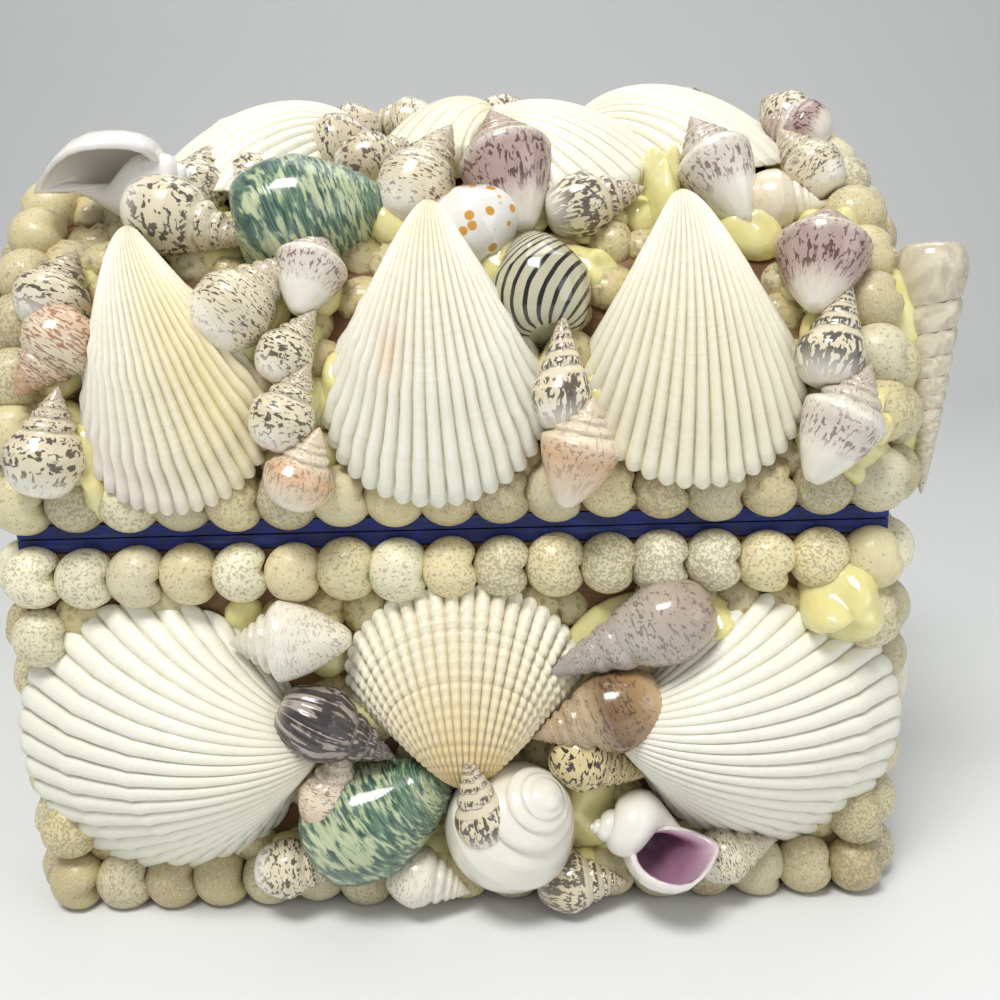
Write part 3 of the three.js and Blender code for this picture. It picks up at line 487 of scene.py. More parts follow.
def valve(height, spread, taper, curl, ribs, depth=0.016, sharp=0.55, pinch=0.0, beads=0,
          skirt=0.0, fine=8, rows=44, rings=()):
    """Half of a bivalve lying on its rim, its umbo towards +y, grown as a logarithmic spiral.

    Every outline from the rim to the umbo is a smaller copy of the margin, turned about the hinge.
    rings are parts of the full size at which growth paused and left a low step. pinch narrows the umbo.
    """
    count = ribs * fine
    part = np.linspace(-1, 1, count + 1)[1:-1]
    turn = np.radians(142) * np.linspace(0, 1, rows) ** 1.15
    scale = np.exp(-curl * turn)[:, None]
    half_angle = math.radians(spread)
    reach = height * np.cos(part * math.pi / 2) ** taper
    edge = np.minimum(1, (1 - np.abs(part)) * 12)
    wave = rib_profile((part + 1) / 2 * ribs, sharp) * edge
    outline = np.stack([reach * np.sin(part * half_angle), reach * np.cos(part * half_angle)], -1)
    x = scale ** (1 + pinch) * outline[None, :, 0]
    y = -scale * outline[None, :, 1] * np.cos(turn)[:, None]
    z = scale * outline[None, :, 1] * np.sin(turn)[:, None]
    base = np.stack([x, y, z], -1)
    along = np.gradient(base, axis=1)
    grown = np.gradient(base, axis=0)
    normal = np.cross(grown, along)
    normal /= np.maximum(1e-9, np.linalg.norm(normal, axis=-1, keepdims=True))
    if normal[rows // 4, count // 2, 2] < 0:
        normal = -normal
    relief = np.broadcast_to(wave, (rows, count - 1)).copy()
    if beads:
        relief *= 0.3 + 0.7 * rib_profile(scale * beads + 0.25, sharp)
    furrow = 1 - relief.ravel()
    for ring in rings:
        relief += 0.45 * np.exp(-((scale - ring) / 0.012) ** 2)
    relief = (relief - 1) * depth * scale * reach[None, :] * 2
    surface = base + normal * relief[..., None]
    surface[..., 2] = np.maximum(surface[..., 2], 0)
    size = count - 1
    umbo = np.zeros((1, 3))
    foot = np.concatenate([umbo, surface[0]]) - np.array([0, 0, skirt + 0.4])
    points = np.concatenate([umbo, surface.reshape(-1, 3), foot]) + np.array([0, height / 2, 0])
    i, j = np.meshgrid(np.arange(rows - 1), np.arange(size - 1), indexing="ij")
    a = 1 + i * size + j
    quads = [np.stack([a, a + 1, a + 1 + size, a + size], -1).reshape(-1, 4)]
    left = 1 + np.arange(rows - 1) * size
    right = left + size - 1
    last = 1 + (rows - 1) * size
    sides = [
        np.stack([np.zeros(rows - 1, int), left, left + size], -1),
        np.stack([np.zeros(rows - 1, int), right + size, right], -1),
    ]
    crest = last + np.arange(size - 1)
    sides.append(np.stack([np.zeros(size - 1, int), crest, crest + 1], -1))
    rim = np.arange(size + 1)
    under = 1 + rows * size + rim
    following = np.roll(rim, -1)
    quads.append(np.stack([following, rim, under, np.roll(under, -1)], -1))
    inner = under[1:-1]
    sides.append(np.stack([np.full(size - 1, under[0]), inner + 1, inner], -1))
    part_all = np.concatenate([[0], np.tile(part, rows), [0], part])
    age_all = np.concatenate([[0], np.repeat(scale[:, 0], size), [0], np.full(size, 1.0)])
    seed = RANDOM.uniform(0, 40)
    skin = np.stack([part_all, age_all, np.full(len(points), seed)], -1)
    groove = np.concatenate([[0], furrow, [0], 1 - wave])
    return Shape(points, [*quads, *sides], skin, groove)


def spiral(length, width, turns=5.5, growth=1.6, tall=0.55, offset=0.5, around=24, per_turn=32,
           shoulder=0.0, canal=0.5, flare=0.0, lip=0.88):
    """A snail whose mouth shows: a tube coiled round the y axis, apex up, with its mouth towards -z.

    tall is the mouth's height as a part of the shell's length, offset the distance from the axis to
    the middle of the tube as a part of half the width. The tube's foot leans to the axis by canal,
    and its outer lip opens by flare over the last third of a turn.
    """
    steps = int(turns * per_turn) + 1
    theta = np.linspace(0, 2 * math.pi * turns, steps)
    scale = growth ** (theta / (2 * math.pi) - turns)
    phi = np.linspace(0, 2 * math.pi, around, endpoint=False)
    half = width / 2
    tube = (1 - offset) * half
    half_tall = tall * length / 2
    drop = length - half_tall
    out = np.cos(phi)
    down = np.sin(phi)
    square = 1 + shoulder * np.sin(2 * phi) ** 2
    foot = np.maximum(0, -down) ** 2
    radial = (offset * half + tube * out * square) * (1 - canal * foot)
    axial = -drop + half_tall * down * square
    widen = 1 + flare * np.clip((theta - theta[-1]) / 2.1 + 1, 0, 1) ** 2
    # Turned so that the mouth faces -z.
    angle = theta - theta[-1] + math.pi / 2

    def sections(angles, scales, shrink):
        middle = offset * half
        r = middle + (radial - middle) * shrink
        a = -drop + (axial + drop) * shrink
        ring = np.empty((len(angles), around, 3))
        ring[..., 0] = scales[:, None] * r * np.cos(angles)[:, None]
        ring[..., 1] = scales[:, None] * a
        ring[..., 2] = -scales[:, None] * r * np.sin(angles)[:, None]
        return ring

    rings = [sections(angle, scale, 1.0)]
    depths = np.linspace(0, 2.4, 14)
    for step in depths:
        shrunk = scale[-1:] * growth ** (-step / (2 * math.pi))
        rings.append(sections(angle[-1:] - step, shrunk, lip - 0.12 * step))
    rows = np.concatenate(rings)
    widen = np.append(widen, np.interp(depths, (0, 2.1), (widen[-1], 1)))
    rows[..., 0] *= widen[:, None]
    rows[..., 2] *= widen[:, None]
    tip = np.zeros((1, 3))
    end = rows[-1].mean(axis=0, keepdims=True)
    points = np.concatenate([tip, rows.reshape(-1, 3), end]) + np.array([0, length / 2, 0])
    total = len(rows)
    last = 1 + (total - 1) * around + np.arange(around)
    faces = [
        ring_faces(total, around, 1),
        cap(0, 1 + np.arange(around), flip=True),
        cap(len(points) - 1, last),
    ]
    inside = total - steps
    turn_all = np.concatenate([[0], np.repeat(theta / (2 * math.pi), around), np.full(inside * around + 1, turns)])
    phi_all = np.concatenate([[0], np.tile(phi / (2 * math.pi), total), [0]])
    deep = np.concatenate([np.zeros(1 + steps * around), np.repeat(np.linspace(0.2, 1, inside), around), [1]])
    seed = RANDOM.uniform(0, 1)
    skin = np.stack([turn_all + seed * 30, np.abs(phi_all - 0.5) * 2, np.full(len(points), seed)], -1)
    return Shape(points, faces, skin, deep)


def coiled(length, width, peak=0.6, foot=0.32, growth=1.5, first=0.46, groove=0.13, belly=0.85,
           bend=2.0, power=0.55, folds=0, fold_depth=0.05, around=30, rows=52):
    """A snail seen from its back: a turned body with a spiral seam, its apex towards +y.

    Heights run from 0 at the apex to 1 at the foot. The body is widest at peak, first is where the
    seam starts at the mouth, and each whorl is growth times the one before. Below the peak, a small
    bend and a power near 1 make a straight taper. Folds run across the whorls.
    """
    height = np.linspace(0.012, 1, rows) ** 1.08
    turn = np.linspace(0, 2 * math.pi, around, endpoint=False)
    s, t = np.meshgrid(height, turn, indexing="ij")
    whorl = np.log(first / s) / math.log(growth) - t / (2 * math.pi)
    number = np.floor(whorl)
    within = whorl - number
    swell = np.where(whorl >= 0, np.sin(math.pi * within ** 0.8) ** 0.8, np.clip(-whorl / 0.35, 0, 1) ** 0.6)
    upper = (np.minimum(s, peak) / peak) ** belly
    below = np.clip((s - peak) / (1 - peak), 0, 1)
    lower = foot + (1 - foot) * (1 - below ** bend) ** power
    radius = width / 2 * np.where(s < peak, upper, lower) * (1 - groove * (1 - swell))
    if folds:
        ridge = rib_profile(t * folds / (2 * math.pi) + number * 0.37)
        radius = radius * (1 + fold_depth * (ridge - 1) * np.clip(1.3 - s, 0, 1))
    points = np.stack([-radius * np.sin(t), length * (0.5 - s), -radius * np.cos(t)], -1).reshape(-1, 3)
    tips = np.array([[0, length / 2, 0], [0, -length * 0.5, 0]])
    points = np.concatenate([points, tips])
    last = (rows - 1) * around + np.arange(around)
    top = len(points) - 2
    faces = [ring_faces(rows, around), cap(top, np.arange(around), flip=True), cap(top + 1, last)]
    seed = RANDOM.uniform(0, 1)
    along = np.append((t / (2 * math.pi) + np.maximum(number, -1) + seed * 30).ravel(), [0, 0])
    across = np.append(np.where(whorl < 0, -whorl, 1 - within).ravel(), [0, 0])
    skin = np.stack([along, across, np.full(len(points), seed)], -1)
    return Shape(points, faces, skin, np.append(s.ravel(), [0, 1]))


def button(width, around=22, rows=15):
    """A button snail: a ball whose right side is cut where its neighbour sits, with a notch there."""
    latitude = np.linspace(0, math.pi, rows + 2)[1:-1]
    longitude = np.linspace(0, 2 * math.pi, around, endpoint=False)
    a, b = np.meshgrid(latitude, longitude, indexing="ij")
    ball = np.stack([np.sin(a) * np.cos(b), np.cos(a), np.sin(a) * np.sin(b)], -1).reshape(-1, 3)
    ball = np.concatenate([ball, [[0, 1, 0], [0, -1, 0]]])
    x, y, z = ball.T
    notch_y = RANDOM.uniform(0.0, 0.25)
    deep = RANDOM.uniform(0.12, 0.3)
    side = np.clip((x + 0.1) / 0.9, 0, 1) ** 1.5
    notch = deep * np.exp(-((y - notch_y) / 0.17) ** 2) * side
    lobe = 1 + 0.07 * np.sin(math.pi * np.clip((y - notch_y) * -1.1, 0, 1)) * side
    cut = RANDOM.uniform(0.74, 0.86)
    squared = -np.log(np.exp(-9 * x) + np.exp(-9 * cut)) / 9
    points = np.stack([squared * (1 - notch), y, z * (1 - notch) * 0.92], -1) * (lobe * width / 2)[:, None]
    last = (rows - 1) * around + np.arange(around)
    faces = [ring_faces(rows, around), cap(len(points) - 2, np.arange(around), flip=True), cap(len(points) - 1, last)]
    seed = RANDOM.uniform(0, 1)
    turn = np.arctan2(y - notch_y, 1.2 - x)
    skin = np.stack([turn + seed * 9, np.hypot(y - notch_y, 1.2 - x), np.full(len(points), seed)], -1)
    return Shape(points, faces, skin, notch / 0.3)


def blob(length, width, height, rough=0.12, steps=12):
    """A lump of glue with an uneven skin."""
    phi = np.linspace(0, math.pi, steps + 1)[1:-1]
    theta = np.linspace(0, 2 * math.pi, 2 * steps, endpoint=False)
    wobble = RANDOM.uniform(0, 6, 4)
    ring = np.empty((len(phi), len(theta), 3))
    swell = 1 + rough * (
        np.sin(3 * theta + wobble[0])[None, :] * np.sin(2 * phi + wobble[1])[:, None]
        + np.sin(2 * theta + wobble[2])[None, :] * np.cos(3 * phi + wobble[3])[:, None]
    )
    ring[..., 0] = swell * np.sin(phi)[:, None] * np.cos(theta) * width / 2
    ring[..., 1] = swell * np.sin(phi)[:, None] * np.sin(theta) * length / 2
    ring[..., 2] = swell * np.maximum(np.cos(phi), -0.12)[:, None] * height
    points = np.concatenate([[[0, 0, height]], ring.reshape(-1, 3), [[0, 0, -0.15 * height]]])
    size = len(theta)
    last = 1 + (len(phi) - 1) * size + np.arange(size)
    faces = [
        ring_faces(len(phi), size, 1),
        cap(0, 1 + np.arange(size), flip=True),
        cap(len(points) - 1, last),
    ]
    skin = np.zeros((len(points), 3))
    return Shape(points, faces, skin)


class Piece:
    """Shapes gathered into one mesh, each with its own material and colours.

    A colour is one colour, stops of (height, colour, ink) from a snail's apex to its foot, or a
    function of the shape. Ink is how strongly the material's pattern shows.
    """

    def __init__(self):
        self.shapes = []
        self.paints = []
        self.tones = []

    def add(self, shape, paint, colour=(0.8, 0.8, 0.8), shade=1.0):
        tones = np.ones((len(shape.points), 4))
        if callable(colour):
            tones[:, :3] = colour(shape)
        elif isinstance(colour, list):
            heights = [stop[0] for stop in colour]
            for channel in range(3):
                tones[:, channel] = np.interp(shape.groove, heights, [stop[1][channel] for stop in colour])
            tones[:, 3] = np.interp(shape.groove, heights, [stop[2] for stop in colour])
        else:
            tones[:, :3] = colour
        tones[:, :3] *= shade
        self.shapes.append(shape)
        self.paints.append(paint)
        self.tones.append(tones)


def outward(points, faces):
    """The faces, all turned so that they look outwards."""
    volume = 0.0
    for group in faces:
        for k in range(1, group.shape[1] - 1):
            a, b, c = points[group[:, 0]], points[group[:, k]], points[group[:, k + 1]]
            volume += np.einsum("ij,ij->", a, np.cross(b, c))
    return faces if volume > 0 else [group[:, ::-1] for group in faces]


def out_of_the_box(points):
    """The points, with those that reach too deep into the card brought out to SUNK below its surface."""
    x, y, z = points.T
    high = np.maximum(z - DOME_Z, 0)
    reach = np.maximum(np.hypot(y, high), 1)
    below_side = HALF_DEPTH - reach
    below_end = HALF_LENGTH - np.abs(x)
    by_side = (below_side > SUNK) & (below_side <= below_end)
    by_end = (below_end > SUNK) & (below_end < below_side)
    swell = np.where(by_side, (HALF_DEPTH - SUNK) / reach, 1)
    x = np.where(by_end, np.sign(x) * (HALF_LENGTH - SUNK), x)
    return np.stack([x, y * swell, z + high * (swell - 1)], -1)


def add_piece(name, piece, nodes, slot):
    """Makes one object of the piece, which stands for those CAD nodes, if any."""
    mesh = bpy.data.meshes.new(name)
    paints = list(dict.fromkeys(piece.paints))
    offset = 0
    loops, sizes, marks = [], [], []
    for shape, paint in zip(piece.shapes, piece.paints):
        for group in outward(shape.points, shape.faces):
            loops.append((group + offset).ravel())
            sizes.append(np.full(len(group), group.shape[1]))
            marks.append(np.full(len(group), paints.index(paint)))
        offset += len(shape.points)
    points = out_of_the_box(np.concatenate([shape.points for shape in piece.shapes])) * METRES
    loops, sizes, marks = np.concatenate(loops), np.concatenate(sizes), np.concatenate(marks)
    mesh.vertices.add(len(points))
    mesh.vertices.foreach_set("co", points.ravel())
    mesh.loops.add(len(loops))
    mesh.loops.foreach_set("vertex_index", loops)
    mesh.polygons.add(len(sizes))
    mesh.polygons.foreach_set("loop_start", np.concatenate([[0], np.cumsum(sizes)[:-1]]))
    mesh.polygons.foreach_set("material_index", marks)
    mesh.update(calc_edges=True)
    skin = mesh.attributes.new("skin", "FLOAT_VECTOR", "POINT")
    skin.data.foreach_set("vector", np.concatenate([shape.skin for shape in piece.shapes]).ravel())
    groove = mesh.attributes.new("groove", "FLOAT", "POINT")
    groove.data.foreach_set("value", np.concatenate([shape.groove for shape in piece.shapes]))
    tint = mesh.attributes.new("tone", "FLOAT_COLOR", "POINT")
    tint.data.foreach_set("color", np.concatenate(piece.tones).ravel())
    for paint in paints:
        mesh.materials.append(PAINTS[paint])
    mesh.shade_smooth()
    thing = bpy.data.objects.new(name, mesh)
    bpy.context.scene.collection.objects.link(thing)
    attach(thing, "root")
    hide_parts(*nodes)
    return thing


# ---------------------------------------------------------------- rows of button snails

BEAD_TONES = [(0.66, 0.59, 0.35), (0.6, 0.51, 0.28), (0.72, 0.67, 0.46), (0.54, 0.48, 0.3), (0.68, 0.59, 0.32)]
# Painted light and shade: the top row's colours are made lighter, as if lit from above, and the bottom row's darker
# and browner, as if in shade by the table.
TOP_ROW_PAINTED_LIGHT = np.array((1.2, 1.22, 1.28))
BOTTOM_ROW_PAINTED_SHADE = np.array((0.8, 0.76, 0.7))


def add_bead(piece, spot, width=BEAD_PITCH, out=7.4, turn=None, shade=1.0):
    """One button snail, sunk in its glue as far as its height off the card allows."""
    size = width * RANDOM.uniform(1.16, 1.28)
    angle = RANDOM.normal(-6, 10) if turn is None else turn
    seat = laid(spot, turn=angle, lift=out - size * 0.46, slide=RANDOM.normal(0, 0.25),
                tip=RANDOM.normal(0, 8), roll=RANDOM.normal(4, 8))
    tone = BEAD_TONES[RANDOM.integers(len(BEAD_TONES))]
    piece.add(button(size).placed(seat), "bead", tone, shade=shade * RANDOM.uniform(0.9, 1.06))


def bead_ring(z, shade=1.0):
    """A row round the casket. Beads that reach the table are ground flat on it."""
    piece = Piece()
    for face, count, pitch in (
        (on_front, LONG_ROW, BEAD_PITCH),
        (on_right_end, SHORT_ROW, SHORT_PITCH),
        (on_back, LONG_ROW, BEAD_PITCH),
        (on_left_end, SHORT_ROW, SHORT_PITCH),
    ):
        for i in range(count):
            add_bead(piece, face((i - (count - 1) / 2) * pitch, z), shade=shade)
    for shape in piece.shapes:
        shape.points[:, 2] = np.maximum(shape.points[:, 2], 0)
    return piece


CORNER_COUNT = 5
CORNER_PITCH = 11.2
CORNER_FOOT = 12.6
CORNERS_BESIDE_VALVE = (0, 4)


def corner_beads():
    """Button snails up the four corners, on the long face and on the end face."""
    piece = Piece()
    for side in (-1, 1):
        for face, end, sign in ((on_front, 1, 1), (on_back, -1, -1)):
            for i in range(CORNER_COUNT):
                z = CORNER_FOOT + (i + 0.5) * CORNER_PITCH
                if face is on_back or i in CORNERS_BESIDE_VALVE:
                    add_bead(piece, face(side * sign * (HALF_LENGTH - 3.2), z))
                end_face = on_right_end if side > 0 else on_left_end
                y = -sign * (HALF_DEPTH - 5.5)
                add_bead(piece, end_face(y * (1 if side > 0 else -1), z))
    return piece


ARCH_COUNT = 17
ARCH_START = math.radians(6.5)


def arch_beads():
    """Button snails over both arched edges of the lid, on the dome and on the end face."""
    piece = Piece()
    sweep = math.pi - 2 * ARCH_START
    for side in (-1, 1):
        for i in range(ARCH_COUNT):
            angle = ARCH_START + sweep * (i + 0.5) / ARCH_COUNT
            out = Vector((0, -math.cos(angle), math.sin(angle)))
            along = Vector((0, math.sin(angle), math.cos(angle)))
            end = Vector((side, 0, 0))
            edge = Vector((side * HALF_LENGTH, 0, DOME_Z)) + out * HALF_DEPTH
            dome = place(edge - end * 3.2, along.cross(out), along, out)
            add_bead(piece, dome)
            face = place(edge - out * 5.5, along.cross(end), along, end)
            add_bead(piece, face)
    return piece


# ---------------------------------------------------------------- valves

FAN = {"spread": 38.5, "taper": 0.27, "curl": 1.35, "ribs": 22, "depth": 0.018, "sharp": 0.9, "pinch": 0.14}
ROUND = {"spread": 80, "taper": 0.7, "curl": 1.1, "ribs": 30, "depth": 0.013}
PLAIN_FAN = {"spread": 42, "taper": 0.27, "curl": 1.35, "ribs": 20, "depth": 0.017, "sharp": 0.9, "pinch": 0.14,
             "fine": 6, "rows": 32}
PLAIN_ROUND = {"spread": 76, "taper": 0.6, "curl": 1.15, "ribs": 26, "depth": 0.015, "fine": 6, "rows": 32}
LEANING = {"lift": 1.2, "slide": -5}
LEAN = 5

WHITE = np.array((0.87, 0.86, 0.74))


def blush(*patches):
    """A tone for a valve: white, with soft patches of colour at (part, age, spread in part and in age)."""

    def tone(shape):
        part, age = shape.skin[:, 0:1], shape.skin[:, 1:2]
        colour = np.tile(WHITE, (len(shape.points), 1))
        for colour_there, at, reach, strength in patches:
            near = np.exp(-((part - at[0]) / reach[0]) ** 2 - ((age - at[1]) / reach[1]) ** 2)
            colour += (np.array(colour_there) - colour) * near * strength
        return colour

    return tone


YELLOW = (0.86, 0.74, 0.38)
PALE_YELLOW = (0.86, 0.79, 0.55)
PINK = (0.8, 0.6, 0.6)
ORANGE = (0.85, 0.5, 0.25)
PURPLE = (0.6, 0.42, 0.55)
GOLD = (0.78, 0.58, 0.24)


def turned_end(side, y, z):
    """A place on an end face, by its distance from the middle towards the back."""
    return on_right_end(y, z) if side == "right" else on_left_end(-y, z)


VALVES = [
    ("lid_front_valve_left", on_lid(-55, 32.5 + LEAN), {"turn": 14.6, **LEANING},
     {**FAN, "height": 58, "spread": 34, "rings": (0.62, 0.86)},
     blush((YELLOW, (0.45, 0.7), (0.55, 0.5), 0.75), (PINK, (-0.5, 1.0), (0.5, 0.2), 0.4))),
    ("lid_front_valve_centre", on_lid(-2, 34 + LEAN), {"turn": 1, **LEANING},
     {**FAN, "height": 60.5, "rings": (0.7, 0.9)},
     blush((PALE_YELLOW, (0, 0.2), (1, 0.3), 0.6), (ORANGE, (-0.35, 0.62), (0.12, 0.08), 0.35))),
    ("lid_front_valve_right", on_lid(48.4, 35.5 + LEAN), {"turn": 1, **LEANING},
     {**FAN, "height": 59.3, "rings": (0.55, 0.82)},
     blush((PALE_YELLOW, (0, 0.75), (1.2, 0.5), 0.55))),
    ("base_left_ark", on_front(-62.5, 38.5), {"turn": -90, "lift": 1.2},
     {**ROUND, "height": 62, "rings": (0.6, 0.8)}, blush((PALE_YELLOW, (0, 0.1), (1, 0.3), 0.4))),
    ("base_right_ark", on_front(63.8, 39.5), {"turn": 86, "lift": 1.2},
     {**ROUND, "height": 58.5, "spread": 76, "rings": (0.66, 0.84)},
     blush((PURPLE, (-0.75, 0.95), (0.3, 0.3), 0.3))),
    ("base_lattice_cockle", on_front(1.5, 52.4), {"turn": 180, "lift": 3},
     {"height": 42, "spread": 60, "taper": 0.2, "curl": 1.05, "ribs": 25, "depth": 0.026, "sharp": 0.7,
      "beads": 22, "skirt": 2.4, "fine": 8, "rows": 110},
     blush((PALE_YELLOW, (0, 0.6), (2, 0.5), 0.7), (GOLD, (0, 0.2), (2, 0.4), 0.9))),
    ("lid_crown_cockle", on_lid(-44, 97), {"turn": -82, "lift": 1.2},
     {"height": 48, "spread": 78, "taper": 0.6, "curl": 1, "ribs": 26, "depth": 0.013, "rings": (0.7,)},
     blush((PALE_YELLOW, (0, 0.5), (1, 0.3), 0.3))),
    ("lid_crown_scallop_large", on_lid(55, 99), {"turn": 80, "lift": 1.6},
     {"height": 50, "spread": 58, "taper": 0.35, "curl": 1, "ribs": 22, "depth": 0.013},
     blush((PALE_YELLOW, (0, 0.5), (1, 0.3), 0.4))),
    ("lid_crown_scallop_small", on_lid(26, 83), {"turn": 84, "lift": 7},
     {"height": 38, "spread": 62, "taper": 0.4, "curl": 1.15, "ribs": 20, "depth": 0.008, "skirt": 6},
     blush((PALE_YELLOW, (0, 0.2), (1, 0.5), 0.5))),
    ("lid_crown_clam", on_lid(-1, 97), {"turn": -50, "lift": 7},
     {"height": 28, "spread": 70, "taper": 0.5, "curl": 0.95, "ribs": 14, "depth": 0.002, "skirt": 6},
     blush((YELLOW, (0, 0.4), (1, 0.5), 0.5))),
]
for x, side in ((-54, "left"), (0, "centre"), (54, "right")):
    VALVES.append((f"back_lid_valve_{side}", on_back_lid(x, 33 + LEAN), {"turn": -x / 14, **LEANING},
                   {**PLAIN_FAN, "height": 58}, blush((PALE_YELLOW, (0, 0.6), (1, 0.5), 0.5))))
for x, side in ((-58, "left"), (0, "centre"), (58, "right")):
    VALVES.append((f"back_base_valve_{side}", on_back(x, 43 if x == 0 else 40),
                   {"turn": 180 if x == 0 else math.copysign(90, x), "lift": 1.2},
                   {**PLAIN_ROUND, "height": 46 if x == 0 else 52}, blush((PALE_YELLOW, (0, 0.3), (1, 0.4), 0.5))))
for side, sign in (("right", 1), ("left", -1)):
    for kind, y, z, turn, lift, shape in (
        ("front", -26, 41, 98, 1.2, {**PLAIN_ROUND, "height": 50}),
        ("back", 27, 41, -84, 1.2, {**PLAIN_ROUND, "height": 47}),
        ("lid", 8, 119.5, 4, 1.2, {**PLAIN_FAN, "height": 41}),
    ):
        VALVES.append((f"end_{side}_{kind}_valve", turned_end(side, y, z), {"turn": turn * sign, "lift": lift},
                       shape, blush((PALE_YELLOW, (0, 0.4), (1, 0.5), 0.5))))

# ---------------------------------------------------------------- snails

NASSA = {"groove": 0.2, "growth": 1.42, "first": 0.5}
CONE = {"peak": 0.42, "foot": 0.16, "growth": 1.4, "first": 0.4, "groove": 0.24, "belly": 0.95,
        "bend": 1.5, "power": 0.85}
MOON = {"peak": 0.55, "foot": 0.4, "growth": 1.9, "first": 0.44, "groove": 0.17, "belly": 0.54,
        "bend": 2.2, "power": 0.5, "around": 48, "rows": 70}
TURRET = {"peak": 0.7, "foot": 0.35, "growth": 1.36, "first": 0.6, "groove": 0.13, "belly": 0.95}
CERITH = {"peak": 0.7, "foot": 0.3, "growth": 1.4, "first": 0.56, "groove": 0.15, "folds": 11, "fold_depth": 0.05}
FLUTED = {"groove": 0.16, "folds": 20, "fold_depth": 0.14, "around": 100}
BEADED = {"peak": 0.62, "growth": 1.45, "first": 0.5, "groove": 0.2, "folds": 12, "fold_depth": 0.12, "around": 60}
AUGER = {"peak": 0.9, "foot": 0.6, "growth": 1.17, "first": 0.86, "groove": 0.1, "belly": 0.72, "rows": 110}
TURBAN = {"peak": 0.55, "foot": 0.5, "growth": 2.0, "first": 0.26, "groove": 0.07, "belly": 0.5,
          "bend": 2.2, "power": 0.5, "around": 44, "rows": 60}
NERITE = {"peak": 0.5, "foot": 0.4, "growth": 2.4, "first": 0.12, "groove": 0.04, "belly": 0.5,
          "bend": 2.0, "power": 0.5, "around": 40, "rows": 50}

WHITE_TIP = (0.84, 0.8, 0.7)
CREAM = (0.74, 0.66, 0.48)
BEIGE = (0.62, 0.52, 0.37)

# Colours from a snail's apex to its foot: height, colour and how much ink its pattern has there.
SPECKLED = [(0, BEIGE, 0.9), (0.45, CREAM, 0.9), (0.75, CREAM, 0.9), (0.9, WHITE_TIP, 0.4), (1, WHITE_TIP, 0)]
WARM = [(0, BEIGE, 1), (0.5, CREAM, 0.9), (0.9, BEIGE, 0.8), (1, WHITE_TIP, 0.3)]
RED = [(0, (0.66, 0.4, 0.24), 0.9), (0.5, CREAM, 0.8), (1, (0.7, 0.5, 0.34), 0.7)]
PURPLE_CONE = [
    (0, (0.5, 0.38, 0.28), 0.7), (0.3, (0.56, 0.46, 0.36), 0.5), (0.4, (0.74, 0.68, 0.58), 0.1),
    (0.5, (0.44, 0.32, 0.28), 1), (0.72, (0.46, 0.33, 0.3), 1), (0.84, (0.74, 0.66, 0.56), 0.1), (1, WHITE_TIP, 0),
]
PALE_CONE = [
    (0, (0.6, 0.5, 0.4), 0.8), (0.3, (0.7, 0.62, 0.52), 0.6), (0.42, WHITE_TIP, 0.05), (0.52, (0.66, 0.58, 0.5), 0.8),
    (0.66, (0.72, 0.66, 0.58), 0.7), (0.76, WHITE_TIP, 0.05), (1, WHITE_TIP, 0),
]
ORANGE_CONE = [
    (0, (0.7, 0.56, 0.4), 0.4), (0.35, (0.8, 0.7, 0.52), 0.3), (0.55, (0.66, 0.42, 0.24), 0.6),
    (0.8, (0.8, 0.66, 0.48), 0.2), (1, WHITE_TIP, 0),
]
CREAM_CONE = [(0, (0.74, 0.68, 0.52), 0.4), (0.4, (0.84, 0.8, 0.7), 0.2), (1, (0.8, 0.74, 0.58), 0.5)]
GREY = [(0, (0.4, 0.36, 0.34), 0.5), (0.6, (0.5, 0.44, 0.38), 0.6), (1, (0.42, 0.32, 0.25), 0.5)]
BROWN = [(0, (0.5, 0.36, 0.24), 0.7), (0.45, (0.55, 0.42, 0.26), 0.5), (0.62, (0.2, 0.11, 0.05), 1),
         (0.85, (0.36, 0.22, 0.1), 0.6), (1, (0.6, 0.44, 0.25), 0.3)]
GOLDEN = [(0, (0.62, 0.48, 0.24), 1), (1, (0.72, 0.62, 0.34), 1)]
SLATE = [(0, (0.34, 0.28, 0.25), 1), (0.9, (0.4, 0.34, 0.3), 1), (1, (0.5, 0.44, 0.38), 0.5)]
PINKISH = [(0, (0.74, 0.62, 0.5), 0.7), (0.6, (0.78, 0.66, 0.5), 0.6), (1, (0.72, 0.52, 0.38), 0.6)]
JINGLE = [(0, (0.82, 0.78, 0.66), 0), (1, (0.8, 0.68, 0.48), 0.1)]
SPOTTED = [(0, (0.85, 0.83, 0.8), 1), (1, (0.85, 0.83, 0.8), 1)]
# Porcelain white outside; inside the mouth the colour is darker the deeper it goes, which is painted shade.
PORCELAIN = [(0, (0.86, 0.84, 0.8), 0), (1, (0.6, 0.56, 0.5), 0)]
# A white lip and the mouth's own purple; deep inside, it darkens to near black, which is painted shade.
PURPLE_MOUTH = [(0, (0.84, 0.82, 0.76), 0), (0.2, (0.66, 0.5, 0.58), 0), (0.5, (0.36, 0.18, 0.28), 0),
                (1, (0.1, 0.04, 0.07), 0)]
PEARL = [(0, (0.84, 0.82, 0.74), 0.2), (1, (0.8, 0.76, 0.64), 0.2)]
PLAIN = [(0, (0.3, 0.3, 0.3), 1), (1, (0.3, 0.3, 0.3), 1)]


# Length, width and height of the glue that carries an auger.
AUGER_BED = (40, 11, 9)


def axis_height(width, sunk=0.45):
    """Height of a lying snail's axis above the card."""
    return GAP + width / 2 * (1 - sunk)


